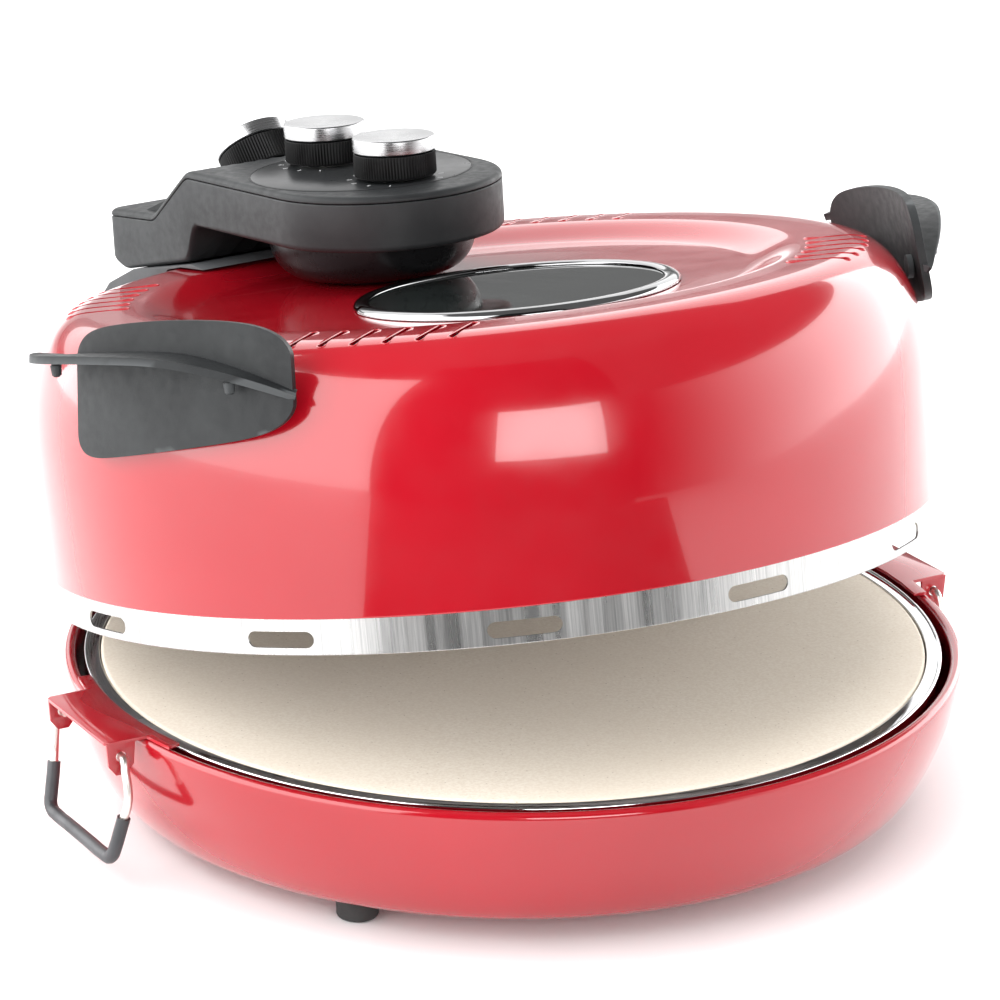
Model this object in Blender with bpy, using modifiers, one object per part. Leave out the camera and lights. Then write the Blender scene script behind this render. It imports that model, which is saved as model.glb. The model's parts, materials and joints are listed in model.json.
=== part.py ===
"""Countertop pizza oven: a red enamelled base bowl with a round stone, under a hinged domed lid.

The base frame has its floor at z = 0 and the bowl's centre line at x = 0. The front is -Y and the
hinge is at the back, +Y. The lid stands ajar. Lid parts are drawn in the lid's own frame, whose
origin is the centre of the steel band's lower edge, and that frame hangs from an empty on the
hinge axis. All sizes below are millimetres, and the helpers turn them into metres.
"""
import math

import bmesh
import bpy
from mathutils import Matrix

MM = 0.001
GAP = 0.3
SEGMENTS = 42
MERGE = 0.00001

# Base bowl, rim and tray
STONE_RADIUS = 154.9
STONE_TOP = 56.3
STONE_THICKNESS = 12.0
RIM_RADIUS = 168.5
RIM_TOP = 57.0
RIM_ROLL = 2.2
SHEET = 1.2
BOWL_FLOOR = 10.0
BOWL_FLOOR_RADIUS = 151.0
BOWL_CURVE = 1.43
BOWL_OPENING = 60.0
TRIM_OUTER = 161.2
TRIM_INNER = 155.4
TRIM_TOP = 56.0
TRAY_SHEET = 0.8
TRAY_FLOOR = 19.0
TRAY_WELL_RADIUS = 146.0
FOOT_X = 117.0
FOOT_Y = 74.0
FOOT_RADIUS = 8.0

# Hinge: the pin lies low behind the bowl, and the lid rests on the rim when it is shut
HINGE_Y = 163.0
HINGE_Z = 9.0
LID_SHUT_Y = 1.2
LID_SHUT_Z = 58.9
LID_AJAR_DEG = 10.6
PIN_RADIUS = 2.5
PIN_HALF_LENGTH = 38.0
KNUCKLE_RADIUS = 5.4
KNUCKLE_BORE = 2.9
ARM_HALF_WIDTH = 20.0

# Lid shell and band, in the lid frame
LID_RADIUS = 168.5
LID_SIDE_TOP = 54.2
LID_CREST = 106.0
LID_CREST_RADIUS = 141.0
LID_CURVE = 2.3
LID_DISH = 100.4
LID_DISH_RADIUS = 106.0
BAND_RADIUS = 167.0
BAND_HEIGHT = 24.0
BAND_SHOWN = 12.9
VENT_COUNT = 12
VENT_HALF_LENGTH = 13.0
VENT_HALF_HEIGHT = 2.9
VENT_Z = 5.6
LOUVRE_GROUPS_DEG = ((-131.0, 10.0), (-46.0, -10.0), (46.0, 10.0), (131.0, -10.0))
LOUVRES_PER_GROUP = 6
LOUVRE_PITCH_DEG = 4.8
LOUVRE_RADIUS = 138.0
LOUVRE_HALF_LENGTH = 11.5
LOUVRE_HALF_WIDTH = 1.4
LINER_TOP = 88.8
LINER_RADIUS = 161.0

# Window
WINDOW_Y = -32.4
BEZEL_OUTER = 60.5
BEZEL_INNER = 54.5
GLASS_RADIUS = 56.4
GLASS_THICKNESS = 4.0

# Handles on the lid
HANDLE_AZIMUTH_DEG = 71.2
HANDLE_HALF_ARC_DEG = 16.9
HANDLE_RADIUS = 170.4
HANDLE_LEAN = 0.11
HANDLE_THICKNESS = 3.0
LEAF_THICKNESS = 3.2

# Control housing, in its own frame, which rises a little towards the hinge
CONTROL_Y = 68.0
CONTROL_Z = 141.2
CONTROL_RISE_DEG = 4.1
HEAD_RADIUS = 46.3
HEAD_CENTRE = -14.0
SLOPE_TOP = (54.8, 0.0)
SLOPE_FOOT = (82.5, -20.4)
CONTROL_REAR = 121.0
CONTROL_DEPTH = 21.4
TOP_PATH = [(-80.0, 0.0), SLOPE_TOP, SLOPE_FOOT, (CONTROL_REAR + 10.0, -23.4)]
BELLY = [(CONTROL_REAR + 10.0, -35.0), (CONTROL_REAR, -39.6), (109.0, -44.0), (55.4, -35.2),
         (55.0, -25.4), (51.0, -CONTROL_DEPTH), (-80.0, -CONTROL_DEPTH)]
SCREW_Y = 95.0
GLAND_Z = -31.5
CONTROL_WALL = 2.4
COVER_THICKNESS = 2.0
DIAL_RADIUS = 42.3
KNOB_PITCH = 49.6
KNOB_RADIUS = 15.7
SHAFT_RADIUS = 3.0
PEDESTAL_Y = 64.5
PEDESTAL_RADIUS = 37.0
PEDESTAL_STRETCH = 1.24

# Heating elements
ELEMENT_TERMINAL_X = 12.0
ELEMENT_TUBE = 3.2
LOWER_ELEMENT_RADIUS = 105.0
LOWER_ELEMENT_Z = 31.0
UPPER_ELEMENT_RADIUS = 118.0
UPPER_ELEMENT_Z = 75.0

# Bail handles on the base; their diameter is turned a few degrees from the hinge axis
BRACKET_TURN_DEG = -4.5
BRACKET_REACH = 181.0
BRACKET_HALF_WIDTH = 25.2
BRACKET_TOP = 58.5
BAIL_X = 175.0
BAIL_Z = 52.4
WIRE_RADIUS = 1.6
GRIP_RADIUS = 2.5
GRIP_START = 6

# Moves the whole oven so that its bounding box is centred on the origin in Y
CENTRE_SHIFT_Y = -30.9

PARTS = bpy.data.collections.new("countertop_pizza_oven")
CUTTERS = bpy.data.collections.new("cutters")


# ---------------------------------------------------------------- scene helpers

def clear_scene():
    for obj in list(bpy.data.objects):
        bpy.data.objects.remove(obj, do_unlink=True)
    bpy.context.scene.collection.children.link(PARTS)
    bpy.context.scene.collection.children.link(CUTTERS)


def make_material(name, colour, roughness, metallic):
    mat = bpy.data.materials.new(name)
    mat.use_nodes = True
    shader = mat.node_tree.nodes["Principled BSDF"]
    shader.inputs["Base Color"].default_value = (*colour, 1.0)
    shader.inputs["Roughness"].default_value = roughness
    shader.inputs["Metallic"].default_value = metallic
    mat.diffuse_color = (*colour, 1.0)
    return mat


def make_empty(name, parent, location=(0, 0, 0), rotation_deg=(0, 0, 0)):
    obj = bpy.data.objects.new(name, None)
    obj.empty_display_size = 0.02
    place(obj, parent, location, rotation_deg)
    PARTS.objects.link(obj)
    return obj


def place(obj, parent, location=(0, 0, 0), rotation_deg=(0, 0, 0)):
    obj.parent = parent
    obj.location = [value * MM for value in location]
    obj.rotation_euler = [math.radians(angle) for angle in rotation_deg]


def add_object(name, mesh, parent, mat=None, location=(0, 0, 0), rotation_deg=(0, 0, 0)):
    """Make an object of a mesh. With no material it is a cutter."""
    obj = bpy.data.objects.new(name, mesh)
    place(obj, parent, location, rotation_deg)
    if mat is None:
        obj.hide_render = True
        obj.display_type = "WIRE"
        CUTTERS.objects.link(obj)
    else:
        mesh.materials.append(mat)
        PARTS.objects.link(obj)
    return obj


def mesh_from(bm, name):
    mesh = bpy.data.meshes.new(name)
    bmesh.ops.recalc_face_normals(bm, faces=bm.faces)
    bm.to_mesh(mesh)
    bm.free()
    return mesh


def combine(obj, other, operation="DIFFERENCE"):
    modifier = obj.modifiers.new(operation.lower() + "_" + other.name, "BOOLEAN")
    modifier.operation = operation
    modifier.object = other
    modifier.solver = "EXACT"


def shade_round(obj, angle_deg=35.0):
    obj.data.shade_smooth()
    obj.data.set_sharp_from_angle(angle=math.radians(angle_deg))


# ---------------------------------------------------------------- shape helpers

def turned(name, outline, parent, mat=None, closed=True, steps=SEGMENTS, **where):
    """Turn an (r, z) outline about Z. It runs down the outer side; an open one ends on the axis."""
    bm = bmesh.new()
    verts = [bm.verts.new((r * MM, 0.0, z * MM)) for r, z in outline]
    for first, second in zip(verts, verts[1:]):
        bm.edges.new((first, second))
    if closed:
        bm.edges.new((verts[-1], verts[0]))
    mesh = bpy.data.meshes.new(name)
    bm.to_mesh(mesh)
    bm.free()
    obj = add_object(name, mesh, parent, mat, **where)
    screw = obj.modifiers.new("turn", "SCREW")
    screw.axis = "Z"
    screw.angle = 2.0 * math.pi
    screw.steps = steps
    screw.render_steps = steps
    screw.use_merge_vertices = True
    screw.merge_threshold = MERGE
    screw.use_smooth_shade = True
    return obj


def box_mesh(name, low, high):
    bm = bmesh.new()
    bmesh.ops.create_cube(bm, size=1.0)
    size = [(b - a) * MM for a, b in zip(low, high)]
    middle = [(a + b) * 0.5 * MM for a, b in zip(low, high)]
    bmesh.ops.scale(bm, vec=size, verts=bm.verts)
    bmesh.ops.translate(bm, vec=middle, verts=bm.verts)
    return mesh_from(bm, name)


def box(name, low, high, parent, mat=None, bevel=0.0, **where):
    obj = add_object(name, box_mesh(name, low, high), parent, mat, **where)
    if bevel:
        modifier = obj.modifiers.new("round_edges", "BEVEL")
        modifier.width = bevel * MM
        modifier.segments = 2
    return obj


def cylinder(name, radius, z_low, z_high, parent, mat=None, top_radius=None, sides=24, **where):
    """A cylinder or cone along its own Z."""
    bm = bmesh.new()
    top = radius if top_radius is None else top_radius
    bmesh.ops.create_cone(bm, cap_ends=True, segments=sides, radius1=radius * MM,
                          radius2=top * MM, depth=(z_high - z_low) * MM)
    bmesh.ops.translate(bm, vec=(0, 0, (z_low + z_high) * 0.5 * MM), verts=bm.verts)
    return add_object(name, mesh_from(bm, name), parent, mat, **where)


def curve_object(name, points, cyclic, flat):
    data = bpy.data.curves.new(name, "CURVE")
    data.dimensions = "2D" if flat else "3D"
    spline = data.splines.new("POLY")
    spline.points.add(len(points) - 1)
    for target, point in zip(spline.points, points):
        target.co = (*[value * MM for value in point], 1.0)
    spline.use_cyclic_u = cyclic
    obj = bpy.data.objects.new(name, data)
    bpy.context.scene.collection.objects.link(obj)
    return obj


def mesh_of_curve(curve, name):
    """The evaluated curve as a mesh with its caps welded. The curve is removed."""
    graph = bpy.context.evaluated_depsgraph_get()
    mesh = bpy.data.meshes.new_from_object(curve.evaluated_get(graph))
    mesh.name = name
    bpy.data.objects.remove(curve, do_unlink=True)
    bm = bmesh.new()
    bm.from_mesh(mesh)
    bmesh.ops.remove_doubles(bm, verts=bm.verts, dist=MERGE)
    bmesh.ops.recalc_face_normals(bm, faces=bm.faces)
    bm.to_mesh(mesh)
    bm.free()
    return mesh


def slab_mesh(name, outline, low, high):
    """A flat (x, y) outline made into a slab between two heights."""
    curve = curve_object(name, [(x, y, 0.0) for x, y in outline], True, True)
    curve.data.fill_mode = "BOTH"
    curve.data.extrude = (high - low) * 0.5 * MM
    mesh = mesh_of_curve(curve, name)
    mesh.transform(Matrix.Translation((0, 0, (low + high) * 0.5 * MM)))
    return mesh


def side_slab_mesh(name, outline, half_width):
    """A (y, z) outline made into a slab that is symmetric about x = 0."""
    mesh = slab_mesh(name, outline, -half_width, half_width)
    mesh.transform(Matrix(((0, 0, 1, 0), (1, 0, 0, 0), (0, 1, 0, 0), (0, 0, 0, 1))))
    return mesh


def tube_mesh(name, points, radius, caps=True):
    curve = curve_object(name, points, False, False)
    curve.data.bevel_depth = radius * MM
    curve.data.bevel_resolution = 2
    curve.data.use_fill_caps = caps
    return mesh_of_curve(curve, name)


def arc(centre, radius, start_deg, end_deg, steps):
    points = []
    for step in range(steps + 1):
        angle = math.radians(start_deg + (end_deg - start_deg) * step / steps)
        points.append((centre[0] + radius * math.cos(angle), centre[1] + radius * math.sin(angle)))
    return points


def offset_path(points, distance):
    """Move an open path to its right-hand side by a distance, keeping its corners sharp."""
    normals = []
    for (x0, y0), (x1, y1) in zip(points, points[1:]):
        length = math.hypot(x1 - x0, y1 - y0)
        normals.append(((y1 - y0) / length, -(x1 - x0) / length))
    pairs = zip([normals[0]] + normals, normals + [normals[-1]])
    moved = []
    for (x, y), (before, after) in zip(points, pairs):
        scale = distance / (1.0 + before[0] * after[0] + before[1] * after[1])
        moved.append((x + (before[0] + after[0]) * scale, y + (before[1] + after[1]) * scale))
    return moved


def polar(azimuth_deg, radius):
    """The point at an azimuth counted from the front, -Y, towards +X."""
    angle = math.radians(azimuth_deg)
    return radius * math.sin(angle), -radius * math.cos(angle)


def squircle(centre, reach, power, start_deg, end_deg, steps):
    """Points of a superellipse quadrant about a centre, with reaches along r and z."""
    points = []
    for step in range(steps + 1):
        angle = math.radians(start_deg + (end_deg - start_deg) * step / steps)
        across = max(math.cos(angle), 0.0) ** (2.0 / power)
        along = max(math.sin(angle), 0.0) ** (2.0 / power)
        points.append((centre[0] + reach[0] * across, centre[1] + reach[1] * along))
    return points


# ---------------------------------------------------------------- materials

def make_materials():
    return {
        "enamel": make_material("red_enamel", (0.62, 0.015, 0.025), 0.12, 0.0),
        "steel": make_material("brushed_steel", (0.72, 0.72, 0.71), 0.32, 1.0),
        "chrome": make_material("polished_chrome", (0.82, 0.82, 0.83), 0.06, 1.0),
        "tin": make_material("aluminised_sheet", (0.60, 0.60, 0.61), 0.42, 1.0),
        "stone": make_material("cordierite", (0.80, 0.70, 0.58), 0.90, 0.0),
        "rubber": make_material("black_rubber", (0.02, 0.02, 0.02), 0.80, 0.0),
        "plastic": make_material("black_moulding", (0.035, 0.036, 0.038), 0.55, 0.0),
        "grey": make_material("grey_moulding", (0.10, 0.105, 0.11), 0.55, 0.0),
        "vinyl": make_material("vinyl_sleeve", (0.045, 0.045, 0.05), 0.45, 0.0),
        "glass": make_material("smoked_glass", (0.03, 0.035, 0.035), 0.03, 0.0),
        "heater": make_material("heater_sheath", (0.16, 0.15, 0.14), 0.50, 1.0),
        "ceramic": make_material("white_ceramic", (0.82, 0.80, 0.75), 0.60, 0.0),
        "aluminium": make_material("spun_aluminium", (0.80, 0.80, 0.80), 0.28, 1.0),
    }


# ---------------------------------------------------------------- base

def bowl_side(inset, steps):
    """The bowl's outer curve from the rim down to its floor, moved inwards by an inset."""
    height = RIM_TOP - RIM_ROLL - BOWL_FLOOR
    reach = (RIM_RADIUS - BOWL_FLOOR_RADIUS, -height)
    centre = (BOWL_FLOOR_RADIUS - inset, RIM_TOP - RIM_ROLL)
    points = squircle(centre, reach, BOWL_CURVE, 0.0, 90.0, steps)
    return [(r, z + (inset if index == steps else 0.0)) for index, (r, z) in enumerate(points)]


def make_base_bowl(frame, mats):
    roll_centre = (RIM_RADIUS - RIM_ROLL, RIM_TOP - RIM_ROLL)
    lip_bottom = RIM_TOP - RIM_ROLL - 5.0
    outer = [(roll_centre[0] - RIM_ROLL, lip_bottom)]
    outer += arc(roll_centre, RIM_ROLL, 180.0, 0.0, 4)
    outer += bowl_side(0.0, 6)[1:]
    outer.append((BOWL_OPENING, BOWL_FLOOR))
    inner = [(BOWL_OPENING, BOWL_FLOOR + SHEET)]
    inner += list(reversed(bowl_side(SHEET, 6)))[:-1]
    inner += arc(roll_centre, RIM_ROLL - SHEET, 0.0, 180.0, 2)
    inner.append((roll_centre[0] - RIM_ROLL + SHEET, lip_bottom))
    turned("base_bowl", outer + inner, frame, mats["enamel"])


def make_bottom_plate(frame, mats):
    plate_radius = BOWL_OPENING + 14.0
    top = BOWL_FLOOR - GAP
    outline = [(0, top), (plate_radius, top), (plate_radius, top - 1.5), (0, top - 1.5)]
    turned("bottom_plate", outline, frame, mats["tin"], closed=False, steps=36)


def make_feet(frame, mats):
    outline = [(0, BOWL_FLOOR - GAP), (FOOT_RADIUS, BOWL_FLOOR - GAP), (FOOT_RADIUS, 1.6),
               (FOOT_RADIUS - 1.6, 0.0), (0, 0.0)]
    corners = [(-1, -1), (1, -1), (1, 1), (-1, 1)]
    for number, (side_x, side_y) in enumerate(corners, start=1):
        turned(f"foot_{number}", outline, frame, mats["rubber"], closed=False, steps=18,
               location=(side_x * FOOT_X, side_y * FOOT_Y, 0))


def make_trim_ring(frame, mats):
    top = TRIM_TOP
    outline = [(TRIM_INNER, top - 3.0), (TRIM_INNER, top), (TRIM_OUTER - 1.6, top),
               (TRIM_OUTER - 0.6, top + 0.4), (TRIM_OUTER, top - 0.1), (TRIM_OUTER, top - 8.0),
               (TRIM_OUTER - 0.8, top - 8.0), (TRIM_OUTER - 0.8, top - 0.8),
               (TRIM_INNER + 0.8, top - 0.8), (TRIM_INNER + 0.8, top - 3.0)]
    turned("trim_ring", outline, frame, mats["chrome"])


def make_pizza_stone(frame, mats):
    bottom = STONE_TOP - STONE_THICKNESS
    outline = [(0, STONE_TOP), (STONE_RADIUS - 1.0, STONE_TOP), (STONE_RADIUS, STONE_TOP - 1.0),
               (STONE_RADIUS, bottom + 1.0), (STONE_RADIUS - 1.0, bottom), (0, bottom)]
    turned("pizza_stone", outline, frame, mats["stone"], closed=False)


def make_inner_tray(frame, mats):
    """A sheet pan with a ledge for the stone and a well for the lower element."""
    ledge = STONE_TOP - STONE_THICKNESS - GAP
    flange = TRIM_TOP - 0.8 - GAP
    wall = TRIM_INNER + 0.8 + GAP
    well = TRAY_WELL_RADIUS
    t = TRAY_SHEET
    outline = [(0, TRAY_FLOOR), (well - 1.5, TRAY_FLOOR), (well, TRAY_FLOOR + 1.5), (well, ledge),
               (wall, ledge), (wall, flange), (TRIM_OUTER - 0.8 - GAP, flange),
               (TRIM_OUTER - 0.8 - GAP, flange - t), (wall + t, flange - t), (wall + t, ledge - t),
               (well + t, ledge - t), (well + t, TRAY_FLOOR + 1.0), (well - 1.0, TRAY_FLOOR - t),
               (0, TRAY_FLOOR - t)]
    tray = turned("inner_tray", outline, frame, mats["tin"], closed=False)
    for side in (-1, 1):
        hole = cylinder(f"tray_terminal_hole_{side}", 4.4, 10, 25, frame, sides=16,
                        location=(side * ELEMENT_TERMINAL_X, LOWER_ELEMENT_RADIUS, 0))
        combine(tray, hole)


def element_path(radius, height, terminal_z):
    """One turn of heater with both ends bent straight up or down beside each other at the back."""
    gap_deg = math.degrees(math.asin(ELEMENT_TERMINAL_X / radius))
    bend = 6.0 if terminal_z > height else -6.0
    turn = []
    steps = 26
    for step in range(steps + 1):
        azimuth = 180.0 + gap_deg + 3.0 + (360.0 - 2.0 * gap_deg - 6.0) * step / steps
        turn.append((*polar(azimuth, radius), height))
    left = (-ELEMENT_TERMINAL_X, radius)
    right = (ELEMENT_TERMINAL_X, radius)
    start = [(*left, terminal_z), (*left, height + bend), (left[0] - 1.2, left[1], height + bend * 0.3)]
    end = [(right[0] + 1.2, right[1], height + bend * 0.3), (*right, height + bend), (*right, terminal_z)]
    return start + turn + end


def make_lower_heater(frame, mats):
    path = element_path(LOWER_ELEMENT_RADIUS, LOWER_ELEMENT_Z, 12.5)
    mesh = tube_mesh("lower_element", path, ELEMENT_TUBE)
    shade_round(add_object("lower_element", mesh, frame, mats["heater"]), 60.0)
    cylinder("tray_spacer", 9.0, BOWL_FLOOR, TRAY_FLOOR - TRAY_SHEET - GAP, frame, mats["steel"])
    for number, azimuth in enumerate((0.0, 120.0, 240.0), start=1):
        x, y = polar(azimuth, LOWER_ELEMENT_RADIUS)
        cylinder(f"element_stand_{number}", 5.0, TRAY_FLOOR + GAP, LOWER_ELEMENT_Z - ELEMENT_TUBE - GAP,
                 frame, mats["ceramic"], top_radius=3.6, sides=16, location=(x, y, 0))


# ---------------------------------------------------------------- base brackets and bails

def bracket_outline():
    inner = TRIM_OUTER + 0.7
    tab = 166.8
    tab_deg = 13.2
    neck_deg = math.degrees(math.asin(BRACKET_HALF_WIDTH / tab))
    corner = 1.5
    outline = arc((0, 0), inner, -tab_deg, tab_deg, 6)
    outline += arc((0, 0), tab, tab_deg, neck_deg, 2)
    outline += [(BRACKET_REACH - corner, BRACKET_HALF_WIDTH), (BRACKET_REACH, BRACKET_HALF_WIDTH - corner)]
    outline += [(BRACKET_REACH, corner - BRACKET_HALF_WIDTH), (BRACKET_REACH - corner, -BRACKET_HALF_WIDTH)]
    outline += arc((0, 0), tab, -neck_deg, -tab_deg, 2)
    return outline


def make_bracket(side, frame, mats):
    """A folded plate over the rim with two ears down its sides. Local +X points outwards."""
    name = f"bail_bracket_{side}"
    plate = slab_mesh(name, bracket_outline(), BRACKET_TOP - SHEET, BRACKET_TOP)
    bracket = add_object(name, plate, frame, mats["enamel"])
    ear_bottom = BRACKET_TOP - 13.0
    ear_inner = BRACKET_REACH - 11.6
    ear = [(ear_inner, BRACKET_TOP - 0.4), (ear_inner + 0.6, ear_bottom + 3.5),
           (ear_inner + 3.4, ear_bottom), (BRACKET_REACH - 4.0, ear_bottom),
           (BRACKET_REACH - 1.2, ear_bottom + 3.5), (BRACKET_REACH - 0.4, BRACKET_TOP - 0.4)]
    for edge in (-1, 1):
        mesh = slab_mesh("ear", ear, BRACKET_HALF_WIDTH - SHEET, BRACKET_HALF_WIDTH - 0.02)
        mesh.transform(Matrix(((1, 0, 0, 0), (0, 0, edge, 0), (0, 1, 0, 0), (0, 0, 0, 1))))
        bm = bmesh.new()
        bm.from_mesh(mesh)
        bmesh.ops.recalc_face_normals(bm, faces=bm.faces)
        bm.to_mesh(mesh)
        bm.free()
        combine(bracket, add_object(f"ear_{side}_{edge}", mesh, frame), "UNION")
    hole = cylinder(f"ear_hole_{side}", WIRE_RADIUS + 0.45, -40, 40, frame, sides=16,
                    location=(BAIL_X, 0, BAIL_Z), rotation_deg=(90, 0, 0))
    combine(bracket, hole)


def bail_half_path():
    """One leg of the bail from its hooked end down to the start of the cross bar."""
    shoulder = BRACKET_HALF_WIDTH + 2.6
    return [(0, shoulder - 6.2, 0), (0, shoulder - 1.4, 0), (0, shoulder, -1.4), (0.3, shoulder + 1.8, -6.0),
            (0.2, shoulder + 3.4, -12.0), (0.6, shoulder + 3.2, -17.0), (1.8, shoulder + 1.6, -23.0),
            (3.0, shoulder + 0.4, -29.0), (4.3, shoulder - 0.6, -34.6), (4.9, shoulder - 2.2, -37.4),
            (5.1, shoulder - 5.0, -38.4)]


def make_bail(side, frame, mats):
    leg = bail_half_path()
    far_leg = [(x, -y, z) for x, y, z in reversed(leg)]
    wire = tube_mesh(f"bail_{side}", leg + far_leg, WIRE_RADIUS)
    shade_round(add_object(f"bail_{side}", wire, frame, mats["steel"]), 60.0)
    sleeve = leg[GRIP_START:] + far_leg[:-GRIP_START]
    grip = tube_mesh(f"bail_grip_{side}", sleeve, GRIP_RADIUS, caps=False)
    obj = add_object(f"bail_grip_{side}", grip, frame, mats["vinyl"])
    wall = obj.modifiers.new("wall", "SOLIDIFY")
    wall.thickness = (GRIP_RADIUS - WIRE_RADIUS - 0.4) * MM
    wall.offset = -1.0


# ---------------------------------------------------------------- hinge

def make_hinge_bracket(frame, mats):
    """A plate under the bowl's back with two knuckles on the pin."""
    top = BOWL_FLOOR - 0.4
    bracket = box("hinge_bracket", (-36, 104, top - 1.6), (36, 160, top), frame, mats["steel"])
    for side in (-1, 1):
        low, high = sorted((side * 24.6, side * 36.0))
        knuckle = cylinder(f"knuckle_{side}", KNUCKLE_RADIUS, low, high, frame,
                           location=(0, HINGE_Y, HINGE_Z), rotation_deg=(90, 0, 90))
        combine(bracket, knuckle, "UNION")
    middle = box("knuckle_space", (-24.6, 150.5, 0), (24.6, 175, 25), frame)
    combine(bracket, middle)
    bore = cylinder("base_knuckle_bore", KNUCKLE_BORE, -60, 60, frame,
                    location=(0, HINGE_Y, HINGE_Z), rotation_deg=(90, 0, 90))
    combine(bracket, bore)


def make_hinge_pin(frame, mats):
    head = PIN_HALF_LENGTH + 2.0
    outline = [(0, head), (4.0, head), (4.0, PIN_HALF_LENGTH), (PIN_RADIUS, PIN_HALF_LENGTH),
               (PIN_RADIUS, -PIN_HALF_LENGTH), (4.0, -PIN_HALF_LENGTH), (4.0, -head), (0, -head)]
    turned("hinge_pin", outline, frame, mats["steel"], closed=False, steps=20,
           location=(0, HINGE_Y, HINGE_Z), rotation_deg=(0, 90, 0))


def make_hinge_arm(hinge, mats):
    """A steel strap, drawn about the pin: a knuckle, a run up behind the bowl and a top flange."""
    path = [(1.6, 4.2), (3.4, 21.0), (7.0, 33.0), (8.8, 48.0), (9.4, 100.0), (9.4, 147.6), (-3.0, 147.6)]
    back = offset_path(path, 2.4)
    arm = add_object("hinge_arm", side_slab_mesh("hinge_arm", path + list(reversed(back)), ARM_HALF_WIDTH),
                     hinge, mats["steel"])
    knuckle = cylinder("arm_knuckle", KNUCKLE_RADIUS, -24.2, 24.2, hinge, rotation_deg=(90, 0, 90))
    combine(arm, knuckle, "UNION")
    combine(arm, cylinder("arm_bore", KNUCKLE_BORE, -60, 60, hinge, rotation_deg=(90, 0, 90)))


def taper_sides(mesh):
    """Narrow a cover towards its lower end."""
    full, low, narrow = 70.0, -24.0, 0.62
    for vertex in mesh.vertices:
        share = (full - vertex.co.z / MM) / (full - low)
        share = min(max(share, 0.0), 1.0)
        vertex.co.x *= 1.0 + (narrow - 1.0) * share


def make_hinge_cover(frame, mats):
    """A moulded cover over the strap, from under the controls down behind the bowl."""
    outer = [(124, 108.6), (171, 103.8), (192, 97.0), (204, 88.0), (205, 78.0), (193, 48.0),
             (185, 12.0), (180, -22.0)]
    inside = [(100, -22.0), (100, 104.0)]
    cover = side_slab_mesh("hinge_cover", outer + inside, 47.0)
    taper_sides(cover)
    obj = add_object("hinge_cover", cover, frame, mats["grey"])
    cavity = offset_path(outer, 2.6)
    cavity[-1] = (cavity[-1][0], -40.0)
    cavity = [(100, cavity[0][1] - 4.0)] + cavity[1:] + [(100, -40.0)]
    hollow = side_slab_mesh("hinge_cover_hollow", cavity, 44.4)
    taper_sides(hollow)
    combine(obj, add_object("hinge_cover_hollow", hollow, frame))
    shoulder = [(r + 1.6, z + 0.9) for r, z in lid_shoulder(0.0, 6)]
    clearance = [(0, LID_CREST + 0.9), (LID_CREST_RADIUS, LID_CREST + 0.9)] + shoulder[1:]
    clearance += [(LID_RADIUS + 1.6, -60.0), (0, -60.0)]
    combine(obj, turned("lid_clearance", clearance, frame, closed=False))


# ---------------------------------------------------------------- lid

def lid_shoulder(inset, steps):
    reach = (LID_RADIUS - LID_CREST_RADIUS, LID_CREST - LID_SIDE_TOP - inset)
    centre = (LID_CREST_RADIUS - inset, LID_SIDE_TOP)
    return squircle(centre, reach, LID_CURVE, 90.0, 0.0, steps)


def lid_top(inset):
    """The dished top, from the axis to the crest."""
    dish, edge = LID_DISH - inset, LID_DISH_RADIUS
    crest = LID_CREST - inset
    return [(0, dish), (edge, dish), (edge + 6, dish + 0.7), (edge + 12, crest - 0.6), (edge + 19, crest)]


def make_lid_shell(frame, mats):
    outline = lid_top(0.0) + lid_shoulder(0.0, 6)
    outline += [(LID_RADIUS, BAND_SHOWN), (LID_RADIUS - SHEET, BAND_SHOWN)]
    outline += list(reversed(lid_top(SHEET) + lid_shoulder(SHEET, 4)))
    shell = turned("lid_shell", outline, frame, mats["enamel"], closed=False)
    window = cylinder("window_cut", GLASS_RADIUS + 0.5, 80, 120, frame, sides=40,
                      location=(0, WINDOW_Y, 0))
    combine(shell, window)
    combine(shell, cylinder("wire_cut", 7.5, 80, 120, frame, sides=16, location=(0, CONTROL_Y, 0)))
    combine(shell, make_louvre_cutter(frame))


def louvre_places():
    """Where each louvre lies: its centre and its heading. The four groups mirror each other."""
    places = []
    middle = (LOUVRES_PER_GROUP - 1) / 2.0
    for group, slant in LOUVRE_GROUPS_DEG:
        for index in range(LOUVRES_PER_GROUP):
            azimuth = group + (index - middle) * LOUVRE_PITCH_DEG
            places.append((*polar(azimuth, LOUVRE_RADIUS), group + slant))
    return places


def make_louvre_cutter(frame):
    bm = bmesh.new()
    for x, y, heading in louvre_places():
        matrix = Matrix.Translation((x * MM, y * MM, 0.1)) @ Matrix.Rotation(math.radians(heading), 4, "Z")
        scale = Matrix.Diagonal((2 * LOUVRE_HALF_WIDTH * MM, 2 * LOUVRE_HALF_LENGTH * MM, 0.05, 1.0))
        bmesh.ops.create_cube(bm, size=1.0, matrix=matrix @ scale)
    return add_object("louvre_cut", mesh_from(bm, "louvre_cut"), frame)


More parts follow.
